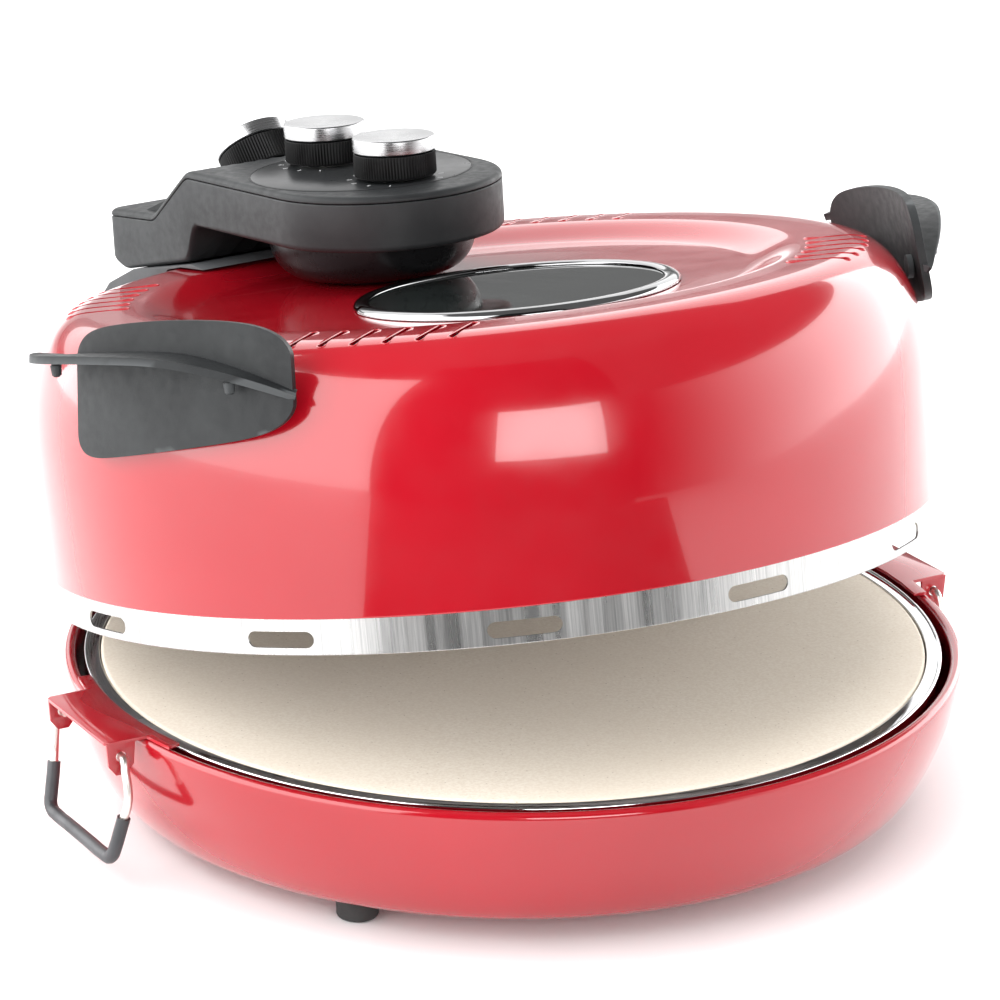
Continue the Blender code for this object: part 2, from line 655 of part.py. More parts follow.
def make_steel_band(frame, mats):
    outline = [(LINER_RADIUS, BAND_HEIGHT), (BAND_RADIUS - 0.8, BAND_HEIGHT), (BAND_RADIUS, BAND_HEIGHT - 0.8),
               (BAND_RADIUS, 0.0), (BAND_RADIUS - 0.8, 0.0), (BAND_RADIUS - 0.8, BAND_HEIGHT - 0.8),
               (LINER_RADIUS, BAND_HEIGHT - 0.8)]
    band = turned("steel_band", outline, frame, mats["steel"])
    bm = bmesh.new()
    straight = VENT_HALF_LENGTH - VENT_HALF_HEIGHT
    for index in range(VENT_COUNT):
        turn = Matrix.Rotation(2.0 * math.pi * index / VENT_COUNT, 4, "Z")
        move = turn @ Matrix.Translation((0, -BAND_RADIUS * MM, VENT_Z * MM))
        add_vent(bm, move, straight)
    combine(band, add_object("vent_cut", mesh_from(bm, "vent_cut"), frame))


def add_vent(bm, matrix, straight):
    """One oblong prism: a short cylinder on its side, stretched in the middle."""
    lie = Matrix.Rotation(math.radians(90.0), 4, "X")
    made = bmesh.ops.create_cone(bm, cap_ends=True, segments=12, radius1=VENT_HALF_HEIGHT * MM,
                                 radius2=VENT_HALF_HEIGHT * MM, depth=12.0 * MM)
    verts = made["verts"]
    for vert in verts:
        if abs(vert.co.x) > 1e-7:
            vert.co.x += math.copysign(straight * MM, vert.co.x)
    bmesh.ops.transform(bm, matrix=matrix @ lie, verts=verts)


def make_lid_liner(frame, mats):
    """A reflector dome that closes the shell from below and carries the upper element."""
    sheet = 0.8
    foot = BAND_HEIGHT + GAP
    dome = [(LINER_RADIUS, foot + sheet), (LINER_RADIUS - 0.5, 50.0), (158.0, 66.0), (152.0, 78.0),
            (140.0, 86.0), (126.0, LINER_TOP)]
    outside = [(0, LINER_TOP)] + list(reversed(dome)) + [(166.0, foot + sheet), (166.0, foot)]
    inside = [(LINER_RADIUS - sheet, foot)] + [(r - sheet, z - 0.5 * sheet) for r, z in dome[1:-1]]
    inside += [(126.0, LINER_TOP - sheet), (0, LINER_TOP - sheet)]
    liner = turned("lid_liner", outside + inside, frame, mats["tin"], closed=False)
    combine(liner, cylinder("liner_window_cut", 49.0, 70, 100, frame, sides=40, location=(0, WINDOW_Y, 0)))
    for side in (-1, 1):
        combine(liner, cylinder(f"liner_terminal_cut_{side}", 4.4, 70, 100, frame, sides=16,
                                location=(side * ELEMENT_TERMINAL_X, UPPER_ELEMENT_RADIUS, 0)))


def make_upper_heater(frame, mats):
    path = element_path(UPPER_ELEMENT_RADIUS, UPPER_ELEMENT_Z, 96.0)
    mesh = tube_mesh("upper_element", path, ELEMENT_TUBE)
    shade_round(add_object("upper_element", mesh, frame, mats["heater"]), 60.0)
    for number, azimuth in enumerate((60.0, 180.0, 300.0), start=1):
        x, y = polar(azimuth, UPPER_ELEMENT_RADIUS)
        cylinder(f"element_clip_{number}", 3.6, UPPER_ELEMENT_Z + ELEMENT_TUBE + GAP,
                 LINER_TOP - 0.8 - GAP, frame, mats["ceramic"], top_radius=5.0, sides=16,
                 location=(x, y, 0))


def make_window(frame, mats):
    seat = LID_DISH + GAP
    over_glass = seat + 1.5
    bezel = [(BEZEL_INNER, over_glass + 0.6), (BEZEL_INNER + 1.0, over_glass + 1.1),
             (BEZEL_OUTER - 3.4, over_glass + 0.9), (BEZEL_OUTER - 0.8, seat + 1.4), (BEZEL_OUTER, seat + 0.4),
             (BEZEL_OUTER, seat), (GLASS_RADIUS + 0.8, seat), (GLASS_RADIUS + 0.8, over_glass),
             (BEZEL_INNER, over_glass)]
    turned("window_bezel", bezel, frame, mats["chrome"], steps=40, location=(0, WINDOW_Y, 0))
    glass_top = over_glass - GAP
    glass_bottom = glass_top - GLASS_THICKNESS
    pane = [(0, glass_top), (GLASS_RADIUS - 0.5, glass_top), (GLASS_RADIUS, glass_top - 0.5),
            (GLASS_RADIUS, glass_bottom), (0, glass_bottom)]
    turned("window_glass", pane, frame, mats["glass"], closed=False, steps=40, location=(0, WINDOW_Y, 0))
    seal_top = glass_bottom - GAP
    seal = [(50.0, seal_top), (57.0, seal_top), (57.0, LINER_TOP + 3.0 + 2 * GAP),
            (50.0, LINER_TOP + 3.0 + 2 * GAP)]
    turned("window_seal", seal, frame, mats["rubber"], steps=40, location=(0, WINDOW_Y, 0))
    inner_low = LINER_TOP + GAP
    inner = [(0, inner_low + 3.0), (56.0, inner_low + 3.0), (56.0, inner_low), (0, inner_low)]
    turned("inner_glass", inner, frame, mats["glass"], closed=False, steps=40, location=(0, WINDOW_Y, 0))


# ---------------------------------------------------------------- lid handles

def handle_point(side, azimuth_deg, reach, height):
    """A point that far outside the back plate's inner face, which leans in towards its top."""
    radius = HANDLE_RADIUS - HANDLE_LEAN * (height - 70.0) + reach
    x, y = polar(side * azimuth_deg, radius)
    return x * MM, y * MM, height * MM


def plate_heights(along):
    """Lower and upper edge of the back plate; along runs from -1 at the front to 1 at the rear."""
    lower = 72.6 - 6.6 * along
    upper = 117.4 - 1.9 * along - 4.6 * along * along
    middle = 0.5 * (lower + upper)
    straight, power = (0.56, 9) if along > 0.0 else (0.42, 6)
    round_off = straight + (1.0 - straight) * math.sqrt(max(1.0 - abs(along) ** power, 0.0))
    return middle - (middle - lower) * round_off, middle + (upper - middle) * round_off


def leaf_root_height(share):
    """Height of the leaf where it meets the plate, from the front at 0 to the rear at 1."""
    fall = max(share - 0.5, 0.0) / 0.5
    return 91.0 + 13.0 * math.sin(math.radians(90.0) * min(share / 0.5, 1.0)) - 4.0 * fall * fall


def leaf_reach(share):
    """How far the leaf stands out from the plate."""
    tip = math.sqrt(max(1.0 - max(share - 0.80, 0.0) ** 2 / 0.20 ** 2, 0.0))
    return 1.2 + 28.0 * math.sin(math.radians(90.0) * share) ** 0.92 * (0.40 + 0.60 * tip)


def grid_mesh(name, columns, rows, mapping):
    """A square grid whose points are moved by a mapping of (column share, row share)."""
    bm = bmesh.new()
    bmesh.ops.create_grid(bm, x_segments=columns, y_segments=rows, size=0.5)
    for vert in bm.verts:
        vert.co = mapping(vert.co.x + 0.5, vert.co.y + 0.5)
    mesh = bpy.data.meshes.new(name)
    bm.to_mesh(mesh)
    bm.free()
    return mesh


def thicken(obj, thickness, offset):
    wall = obj.modifiers.new("wall", "SOLIDIFY")
    wall.thickness = thickness * MM
    wall.offset = offset


def make_handle(side_name, side, frame, mats):
    """A curved back plate with a leaf-shaped shelf that stands out of it."""
    front = HANDLE_AZIMUTH_DEG - HANDLE_HALF_ARC_DEG
    arc_deg = 2.0 * HANDLE_HALF_ARC_DEG

    def plate(column, row):
        along = math.sin(math.radians(180.0) * (column - 0.5))
        low, high = plate_heights(along)
        azimuth = HANDLE_AZIMUTH_DEG + HANDLE_HALF_ARC_DEG * along
        return handle_point(side, azimuth, 0.0, low + (high - low) * row)

    def leaf(column, row):
        share = math.sin(math.radians(90.0) * column)
        azimuth = front + (arc_deg + 1.6) * share
        lift = 4.0 * row * share - 1.0 * row * row * (1.0 - share)
        return handle_point(side, azimuth, 1.0 + leaf_reach(share) * row, leaf_root_height(share) + lift)

    name = f"handle_{side_name}"
    handle = add_object(name, grid_mesh(name, 12, 3, plate), frame, mats["plastic"])
    thicken(handle, HANDLE_THICKNESS, side)
    shelf = add_object(f"leaf_{side_name}", grid_mesh("leaf", 12, 4, leaf), frame)
    thicken(shelf, LEAF_THICKNESS, -side)
    combine(handle, shelf, "UNION")
    for place_name, azimuth in (("front", front + 8.0), ("rear", front + arc_deg - 8.0)):
        x, y = polar(side * azimuth, 0.0)
        cylinder(f"handle_spacer_{side_name}_{place_name}", 4.5, 165.4, 167.5, frame,
                 mats["plastic"], sides=16, location=(x, y, 90.0),
                 rotation_deg=(90, 0, side * azimuth))


# ---------------------------------------------------------------- control housing

def control_plan(inset):
    """The housing seen from above: a round front on straight sides, with rounded rear corners."""
    corner = 7.0
    half = HEAD_RADIUS - inset
    rear = CONTROL_REAR - inset
    outline = arc((0, HEAD_CENTRE), half, 180.0, 360.0, 20)
    outline += arc((half - corner, rear - corner), corner, 0.0, 90.0, 4)
    outline += arc((corner - half, rear - corner), corner, 90.0, 180.0, 4)
    return outline


def control_block(name, side_outline, inset, frame, mat=None):
    """The solid that has both a side outline and the housing's plan."""
    block = add_object(name, side_slab_mesh(name, side_outline, 70.0), frame, mat)
    plan = add_object(f"{name}_plan", slab_mesh("plan", control_plan(inset), -80.0, 60.0), frame)
    combine(block, plan, "INTERSECT")
    return block


def make_control_housing(frame, mats):
    top = offset_path(TOP_PATH, COVER_THICKNESS + GAP)
    housing = control_block("control_housing", top + BELLY, 0.0, frame, mats["plastic"])
    floor = offset_path(list(reversed(BELLY)), -CONTROL_WALL)
    raised = [(y, z + 20.0) for y, z in top]
    hollow = control_block("control_hollow", raised + list(reversed(floor)), CONTROL_WALL, frame)
    combine(housing, hollow)
    combine(housing, cylinder("gland_cut", 6.0, CONTROL_REAR - 12, CONTROL_REAR + 12, frame, sides=20,
                              location=(0, 0, GLAND_Z), rotation_deg=(-90, 0, 0)))
    combine(housing, cylinder("housing_wire_cut", 7.0, -60, -10, frame, sides=16))


def make_control_cover(frame, mats):
    under = offset_path(TOP_PATH, COVER_THICKNESS)
    cover = control_block("control_cover", TOP_PATH + list(reversed(under)), 0.0, frame, mats["plastic"])
    combine(cover, cylinder("dial_pocket", DIAL_RADIUS + GAP, -1.0, 10, frame, sides=48))
    for name, location, tilt in knob_places():
        combine(cover, cylinder(f"{name}_cover_hole", SHAFT_RADIUS + 1.2, -12, 12, frame, sides=20,
                                location=location, rotation_deg=(tilt, 0, 0)))
    combine(cover, cylinder("screw_hole", 3.4, -40, 0, frame, sides=16, location=(0, SCREW_Y, 0)))


def make_dial_plate(frame, mats):
    plate = cylinder("dial_plate", DIAL_RADIUS, -0.7, 0.1, frame, mats["plastic"], sides=48)
    for name, location, tilt in knob_places()[:2]:
        combine(plate, cylinder(f"{name}_dial_hole", SHAFT_RADIUS + 1.2, -12, 12, frame, sides=20,
                                location=location))


def slope_angle_deg():
    return math.degrees(math.atan2(SLOPE_TOP[1] - SLOPE_FOOT[1], SLOPE_FOOT[0] - SLOPE_TOP[0]))


def knob_places():
    """Each knob's name, the foot of its axis on the cover, and its tilt about X."""
    share = 0.54
    slope_y = SLOPE_TOP[0] + share * (SLOPE_FOOT[0] - SLOPE_TOP[0])
    slope_z = SLOPE_TOP[1] + share * (SLOPE_FOOT[1] - SLOPE_TOP[1])
    return [("front", (0, -KNOB_PITCH / 2, 0), 0.0), ("middle", (0, KNOB_PITCH / 2, 0), 0.0),
            ("rear", (0, slope_y, slope_z), -slope_angle_deg())]


def make_knob(name, frame, mats):
    """Drawn on its shaft's axis, with z = 0 on the cover. The knob on the slope is a little taller."""
    top = 19.0 if name == "rear" else 16.5
    seat = top - 4.9
    skirt = [(0, seat), (KNOB_RADIUS, seat), (KNOB_RADIUS, 2.0), (KNOB_RADIUS - 0.6, 1.4),
             (SHAFT_RADIUS + GAP, 1.4), (SHAFT_RADIUS + GAP, seat - 2.0), (0, seat - 2.0)]
    turned(f"knob_{name}_skirt", skirt, frame, mats["plastic"], closed=False, steps=30)
    cap = [(0, top), (KNOB_RADIUS - 0.9, top), (KNOB_RADIUS, top - 0.7), (KNOB_RADIUS, seat + GAP), (0, seat + GAP)]
    turned(f"knob_{name}_cap", cap, frame, mats["aluminium"], closed=False, steps=30)
    cylinder(f"knob_{name}_shaft", SHAFT_RADIUS, -4.6, seat - 2.0 - GAP, frame, mats["steel"], sides=16)


def make_switchgear(frame, mats):
    """The thermostat, the timer and the element selector that the knobs turn, and the wiring block."""
    sizes = {"front": ("timer", 13.0, 10.0), "middle": ("thermostat", 14.0, 11.0), "rear": ("selector", 11.0, 9.0)}
    for name, location, tilt in knob_places():
        label, half, half_depth = sizes[name]
        box(label, (-half, -half_depth, -16.5), (half, half_depth, -5.0), frame, mats["ceramic"], bevel=0.8,
            location=location, rotation_deg=(tilt, 0, 0))
    box("terminal_block", (-34, 88, -37.6), (-16, 100, -30.2), frame, mats["ceramic"], bevel=0.6)
    top = SLOPE_FOOT[1] - 0.0747 * (SCREW_Y - SLOPE_FOOT[0])
    cylinder("cover_screw", 2.8, top - 8.0, top - 0.6, frame, mats["steel"], sides=16, location=(0, SCREW_Y, 0))


def make_cord_gland(frame, mats):
    """The bush that the supply cord would pass through, in the back wall of the housing."""
    outline = [(3.6, 4.2), (6.4, 4.2), (7.4, 3.2), (7.4, GAP), (5.6, GAP), (5.6, -5.0), (3.6, -5.0)]
    turned("cord_gland", outline, frame, mats["rubber"], steps=18,
           location=(0, CONTROL_REAR, GLAND_Z), rotation_deg=(-90, 0, 0))


def make_pedestal(lid, control, mats):
    """An oval cup between the lid's top and the housing, cut to the housing's slope."""
    r = PEDESTAL_RADIUS
    outline = [(r, 132.0), (r, 113.0), (r - 1.8, 108.2), (r - 4.8, 105.2), (r - 8.0, 104.4),
               (r - 8.4, LID_DISH + GAP), (8.0, LID_DISH + GAP), (8.0, 103.4), (r - 10.0, 103.4),
               (r - 7.0, 107.6), (r - 2.5, 114.0), (r - 2.5, 132.0)]
    pedestal = turned("control_pedestal", outline, lid, mats["plastic"], steps=32, location=(0, PEDESTAL_Y, 0))
    pedestal.scale = (1.0, PEDESTAL_STRETCH, 1.0)
    combine(pedestal, box("pedestal_trim", (-60, -80, -CONTROL_DEPTH - GAP), (60, 60, 30), control))


# ---------------------------------------------------------------- assembly

def build():
    clear_scene()
    mats = make_materials()
    base = make_empty("oven_centre", None, (0, CENTRE_SHIFT_Y, 0))
    make_base_bowl(base, mats)
    make_bottom_plate(base, mats)
    make_feet(base, mats)
    make_trim_ring(base, mats)
    make_inner_tray(base, mats)
    make_lower_heater(base, mats)
    stone_lift = make_empty("stone_lift_axis", base)
    make_pizza_stone(stone_lift, mats)

    for side, heading in (("left", 180.0), ("right", 0.0)):
        bracket = make_empty(f"bracket_frame_{side}", base, rotation_deg=(0, 0, heading + BRACKET_TURN_DEG))
        make_bracket(side, bracket, mats)
        make_bail(side, make_empty(f"bail_axis_{side}", bracket, (BAIL_X, 0, BAIL_Z)), mats)

    make_hinge_bracket(base, mats)
    make_hinge_pin(base, mats)
    hinge = make_empty("lid_hinge_axis", base, (0, HINGE_Y, HINGE_Z), (-LID_AJAR_DEG, 0, 0))
    lid = make_empty("lid_frame", hinge, (0, LID_SHUT_Y - HINGE_Y, LID_SHUT_Z - HINGE_Z))
    make_hinge_arm(hinge, mats)
    make_hinge_cover(lid, mats)
    make_lid_shell(lid, mats)
    make_steel_band(lid, mats)
    make_lid_liner(lid, mats)
    make_upper_heater(lid, mats)
    make_window(lid, mats)
    make_handle("left", -1, lid, mats)
    make_handle("right", 1, lid, mats)

    control = make_empty("control_frame", lid, (0, CONTROL_Y, CONTROL_Z), (CONTROL_RISE_DEG, 0, 0))
    make_pedestal(lid, control, mats)
    make_control_housing(control, mats)
    make_control_cover(control, mats)
    make_dial_plate(control, mats)
    make_switchgear(control, mats)
    make_cord_gland(control, mats)
    for name, location, tilt in knob_places():
        make_knob(name, make_empty(f"knob_{name}_axis", control, location, (tilt, 0, 0)), mats)


build()
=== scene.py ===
import json
import math

import bmesh
import bpy
from mathutils import Matrix, Vector


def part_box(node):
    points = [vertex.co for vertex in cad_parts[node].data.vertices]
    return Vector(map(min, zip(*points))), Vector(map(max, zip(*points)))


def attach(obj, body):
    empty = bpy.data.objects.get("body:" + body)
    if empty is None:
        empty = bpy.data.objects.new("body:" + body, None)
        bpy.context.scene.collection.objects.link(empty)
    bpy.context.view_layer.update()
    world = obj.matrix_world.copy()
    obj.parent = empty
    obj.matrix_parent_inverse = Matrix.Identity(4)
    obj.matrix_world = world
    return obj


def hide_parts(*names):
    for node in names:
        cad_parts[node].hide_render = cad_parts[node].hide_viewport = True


# The looks of a countertop pizza oven. Shapes are drawn in millimetres in two frames: the base frame, on
# the bowl's axis at the floor, and the lid frame, whose origin is the centre of the steel band's lower edge.
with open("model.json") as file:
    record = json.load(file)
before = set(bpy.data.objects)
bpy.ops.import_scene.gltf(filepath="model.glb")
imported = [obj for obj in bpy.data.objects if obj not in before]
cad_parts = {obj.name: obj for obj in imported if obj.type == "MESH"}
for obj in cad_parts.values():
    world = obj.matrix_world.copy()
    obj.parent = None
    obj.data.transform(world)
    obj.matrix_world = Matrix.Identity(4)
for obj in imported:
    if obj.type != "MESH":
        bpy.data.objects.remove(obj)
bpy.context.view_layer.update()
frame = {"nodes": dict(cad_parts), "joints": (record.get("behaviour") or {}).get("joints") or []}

MM = 0.001
ROUND = 160

# Frames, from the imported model
BOWL_LOW, BOWL_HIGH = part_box("base_bowl")
CENTRE_Y = (BOWL_LOW.y + BOWL_HIGH.y) / 2.0
LID_HINGE = next(joint for joint in frame["joints"] if joint["name"] == "lid_hinge")
AJAR = -math.radians(LID_HINGE["range_deg"][0])
LID_FROM_HINGE = (0.0, -161.8, 49.9)
CONTROL_ORIGIN = (0.0, 68.0, 141.2)
CONTROL_RISE = math.radians(4.1)

# Base
RIM_RADIUS = (BOWL_HIGH.x - BOWL_LOW.x) / 2.0 / MM
RIM_TOP = BOWL_HIGH.z / MM
RIM_ROLL = 2.2
SHEET = 1.2
BOWL_FLOOR = 10.0
BOWL_FLOOR_RADIUS = 151.0
BOWL_CURVE = 1.43
STONE_RADIUS = 154.9
STONE_TOP = 56.3
STONE_THICKNESS = 12.0
TRIM_OUTER = 161.2
TRIM_INNER = 155.4
TRIM_TOP = 56.0
TRIM_SEAM_DEG = -93.0

# Lid
LID_RADIUS = 168.5
LID_SIDE_TOP = 54.2
LID_CREST = 106.0
LID_CREST_RADIUS = 141.0
LID_CURVE = 2.3
LID_DISH = 100.4
LID_DISH_RADIUS = 106.0
BAND_RADIUS = 167.0
BAND_HEIGHT = 24.0
BAND_SHOWN = 12.9
VENT_COUNT = 12
VENT_HALF_LENGTH = 13.0
VENT_HALF_HEIGHT = 2.9
VENT_Z = 5.6
LOUVRE_GROUPS_DEG = ((-131.0, 10.0), (-46.0, -10.0), (46.0, 10.0), (131.0, -10.0))
LOUVRES_PER_GROUP = 6
LOUVRE_PITCH_DEG = 4.8
LOUVRE_RADIUS = 138.0
LOUVRE_HALF_LENGTH = 11.5
LOUVRE_HALF_WIDTH = 1.4
LINER_RADIUS = 161.0
LINER_TOP = 88.8
LINER_CORNER = 33.0
LINER_HOLE_RADIUS = 49.0
WINDOW_Y = -32.4
BEZEL_OUTER = 60.5
BEZEL_INNER = 54.5
GLASS_RADIUS = 56.4
INNER_GLASS_RADIUS = 56.0
PEDESTAL_Y = 64.5
PEDESTAL_RADIUS = 37.0
PEDESTAL_STRETCH = 1.24

# Handles
HANDLE_AZIMUTH_DEG = 71.2
HANDLE_HALF_ARC_DEG = 16.9
HANDLE_RADIUS = 170.4
HANDLE_LEAN = 0.11
HANDLE_LEAN_FROM = 70.0
PLATE_LOWER = (72.6, -6.6)
PLATE_UPPER = (117.4, -1.9, -4.6)
PLATE_ENDS = {"front": (0.42, 6), "rear": (0.56, 9)}
LEAF_ROOT = 91.0
LEAF_ROOT_RISE = 13.0
LEAF_ROOT_FALL = 4.0
LEAF_REACH = 27.0

# Controls
HEAD_RADIUS = 46.3
HEAD_CENTRE = -14.0
CONTROL_REAR = 121.0
SLOPE_TOP = (54.8, 0.0)
SLOPE_FOOT = (82.5, -20.4)
TOP_LINE = ((-80.0, 0.0), SLOPE_TOP, SLOPE_FOOT, (131.0, -23.4))
BELLY_LINE = ((-80.0, -21.4), (52.0, -21.4), (57.0, -36.2), (109.0, -46.2), (121.0, -42.0), (131.0, -38.0))
COVER_DEPTH = 2.6
SCREW_Y = 95.0
DIAL_RADIUS = 42.3
MARK_CENTRES = (-24.8, 24.8)
MARK_RADIUS = 17.6
MARK_COUNT = 11
MARK_PITCH_DEG = 28.0
KNOB_RADIUS = 15.7
KNOB_RIBS = 84
KNOBS = {"timer_turn": ("front", 16.5), "thermostat_turn": ("middle", 16.5), "selector_turn": ("rear", 19.0)}
DIAL_JOINTS = ("timer_turn", "thermostat_turn")
SHAFT_BORE = 3.6
SHAFT_BORE_TOP = 1.2

# Bail handles
BAIL_X = 175.0
BAIL_Z = 52.4
BRACKET_TURN_DEG = -4.5
BRACKET_HALF_WIDTH = 25.2
WIRE_RADIUS = 1.6
GRIP_RADIUS = 2.5

# Studio, in metres. A panel has two azimuths, a lower and an upper edge, a distance, a strength and a fade.
PANELS = {
    "panel_left": (-60.4, -170.0, 0.0, 3.6, 2.6, 4.4, 0.0),
    "panel_right": (0.0, 120.0, 0.0, 1.5, 2.6, 4.4, 0.65),
    "panel_back": (120.0, 190.0, 0.3, 2.6, 2.6, 1.7, 0.0),
    "panel_key": (-31.0, -4.0, 0.38, 1.22, 2.1, 7.0, 0.0),
}
DARK_FROM_DEG = -60.0
DARK_DISTANCE = 2.2
WORLD_ON_SURFACES = 0.58
WORLD_IN_REFLECTIONS = 0.22
CAMERA_LENS = 167.048
CAMERA_SHIFT = (0.0035, 0.0005)
CAMERA_PLACE = (-0.9270376, -1.3411872, 0.6918189)
CAMERA_TURN = (1.2288, -0.0087, -0.5976)


# ---------------------------------------------------------------- frames

def shift(x, y, z):
    return Matrix.Translation((x * MM, y * MM, z * MM))


BASE = Matrix.Translation((0.0, CENTRE_Y, 0.0))
HINGE = Matrix.Translation(LID_HINGE["pos_m"]) @ Matrix.Rotation(-AJAR, 4, "X")
LID = HINGE @ shift(*LID_FROM_HINGE)
WINDOW = LID @ shift(0.0, WINDOW_Y, 0.0)
CONTROL = LID @ shift(*CONTROL_ORIGIN) @ Matrix.Rotation(CONTROL_RISE, 4, "X")


def polar(azimuth_deg, radius):
    """The point at an azimuth counted from the front, -Y, towards +X."""
    angle = math.radians(azimuth_deg)
    return radius * math.sin(angle), -radius * math.cos(angle)


def arc(centre, radius, start_deg, end_deg, steps):
    points = []
    for step in range(steps + 1):
        angle = math.radians(start_deg + (end_deg - start_deg) * step / steps)
        points.append((centre[0] + radius * math.cos(angle), centre[1] + radius * math.sin(angle)))
    return points


def squircle(centre, reach, power, start_deg, end_deg, steps):
    """Points of a superellipse quadrant about a centre."""
    points = []
    for step in range(steps + 1):
        angle = math.radians(start_deg + (end_deg - start_deg) * step / steps)
        across = max(math.cos(angle), 0.0) ** (2.0 / power)
        along = max(math.sin(angle), 0.0) ** (2.0 / power)
        points.append((centre[0] + reach[0] * across, centre[1] + reach[1] * along))
    return points


def line_height(line, y, blend=2.4):
    """Height of a broken line at y, with its corners rounded over the blend distance."""
    samples = 9
    total = 0.0
    for index in range(samples):
        at = y + blend * (2.0 * index / (samples - 1) - 1.0)
        at = min(max(at, line[0][0]), line[-1][0] - 1e-6)
        for (y0, z0), (y1, z1) in zip(line, line[1:]):
            if y0 <= at <= y1:
                total += z0 + (z1 - z0) * (at - y0) / (y1 - y0)
                break
    return total / samples


# ---------------------------------------------------------------- pieces

def new_object(name, data):
    obj = bpy.data.objects.new(name, data)
    bpy.context.scene.collection.objects.link(obj)
    return obj


def add_piece(name, mesh, matrix, body, mat, nodes=(), smooth_deg=35.0):
    """Put a mesh in its frame, let it ride on its body and stand for its CAD nodes."""
    obj = new_object(name, mesh)
    obj.matrix_world = matrix
    mesh.materials.append(mat)
    if smooth_deg:
        mesh.shade_smooth()
        mesh.set_sharp_from_angle(angle=math.radians(smooth_deg))
    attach(obj, body)
    if nodes:
        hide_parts(*nodes)
    return obj


def as_mesh(bm, name):
    mesh = bpy.data.meshes.new(name)
    bm.to_mesh(mesh)
    bm.free()
    return mesh


def finished(bm, name):
    """A mesh with its double vertices merged and its faces turned outwards."""
    bmesh.ops.remove_doubles(bm, verts=bm.verts, dist=0.000005)
    bmesh.ops.recalc_face_normals(bm, faces=bm.faces)
    return as_mesh(bm, name)


def lathe_mesh(name, outline, closed=True, steps=ROUND, stretch=1.0):
    """An (r, z) outline in mm turned about Z."""
    bm = bmesh.new()
    verts = [bm.verts.new((r * MM, 0.0, z * MM)) for r, z in outline]
    edges = [bm.edges.new(pair) for pair in zip(verts, verts[1:])]
    if closed:
        edges.append(bm.edges.new((verts[-1], verts[0])))
    bmesh.ops.spin(bm, geom=verts + edges, cent=(0, 0, 0), axis=(0, 0, 1), dvec=(0, 0, 0),
                   angle=2.0 * math.pi, steps=steps, use_merge=True)
    for vert in bm.verts:
        vert.co.y *= stretch
    return finished(bm, name)


def bridge(bm, first, second):
    """Faces between two closed loops with the same number of vertices."""
    for index in range(len(first)):
        after = (index + 1) % len(first)
        bm.faces.new((first[index], first[after], second[after], second[index]))


def add_prism(bm, place, outline, start, end):
    """A closed prism on an (x, y) outline of a frame, from one height to another."""
    first, last = [[bm.verts.new(place @ (Vector((x, y, z)) * MM)) for x, y in outline] for z in (start, end)]
    bm.faces.new(first)
    bm.faces.new(last)
    bridge(bm, first, last)


def loft_mesh(name, rings):
    """Skin a list of rings, each with the same number of points in mm, and close both ends."""
    bm = bmesh.new()
    loops = [[bm.verts.new([value * MM for value in point]) for point in ring] for ring in rings]
    for lower, upper in zip(loops, loops[1:]):
        bridge(bm, lower, upper)
    bm.faces.new(loops[0])
    bm.faces.new(loops[-1])
    return finished(bm, name)


def grid_mesh(name, columns, rows, mapping):
    """A square grid whose points are moved by a mapping of (column share, row share)."""
    bm = bmesh.new()
    bmesh.ops.create_grid(bm, x_segments=columns, y_segments=rows, size=0.5)
    for vert in bm.verts:
        vert.co = mapping(vert.co.x + 0.5, vert.co.y + 0.5)
    return as_mesh(bm, name)


def tube_mesh(name, points, radius, steps=6):
    """A round tube along a smooth curve through its points."""
    data = bpy.data.curves.new(name, "CURVE")
    data.dimensions = "3D"
    data.resolution_u = steps
    data.bevel_depth = radius * MM
    data.bevel_resolution = 4
    data.use_fill_caps = True
    spline = data.splines.new("BEZIER")
    spline.bezier_points.add(len(points) - 1)
    for target, point in zip(spline.bezier_points, points):
        target.co = [value * MM for value in point]
        target.handle_left_type = "AUTO"
        target.handle_right_type = "AUTO"
    curve = new_object(name, data)
    graph = bpy.context.evaluated_depsgraph_get()
    mesh = bpy.data.meshes.new_from_object(curve.evaluated_get(graph))
    bpy.data.objects.remove(curve, do_unlink=True)
    return mesh


def hidden_cutter(name, mesh, matrix, body):
    obj = new_object(name, mesh)
    obj.matrix_world = matrix
    obj.hide_render = True
    obj.display_type = "WIRE"
    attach(obj, body)
    return obj


def cut(obj, cutter):
    modifier = obj.modifiers.new("cut_" + cutter.name, "BOOLEAN")
    modifier.operation = "DIFFERENCE"
    modifier.object = cutter
    modifier.solver = "EXACT"


def drill(obj, name, place, radius, low, high, steps=32):
    """Cut a round hole through a piece of the lid, between two heights on the axis of a frame."""
    cylinder = lathe_mesh(name, [(0.0, low), (radius, low), (radius, high), (0.0, high)], False, steps)
    cut(obj, hidden_cutter(name, cylinder, place, "lid"))


def split_edges(obj, angle_deg=35.0):
    modifier = obj.modifiers.new("sharp_edges", "EDGE_SPLIT")
    modifier.split_angle = math.radians(angle_deg)


def soften(obj, width, segments=3, angle_deg=35.0):
    """Round the edges of a boxy piece."""
    modifier = obj.modifiers.new("round_edges", "BEVEL")
    modifier.width = width * MM
    modifier.segments = segments
    modifier.limit_method = "ANGLE"
    modifier.angle_limit = math.radians(angle_deg)
    modifier.harden_normals = True


# ---------------------------------------------------------------- material nodes

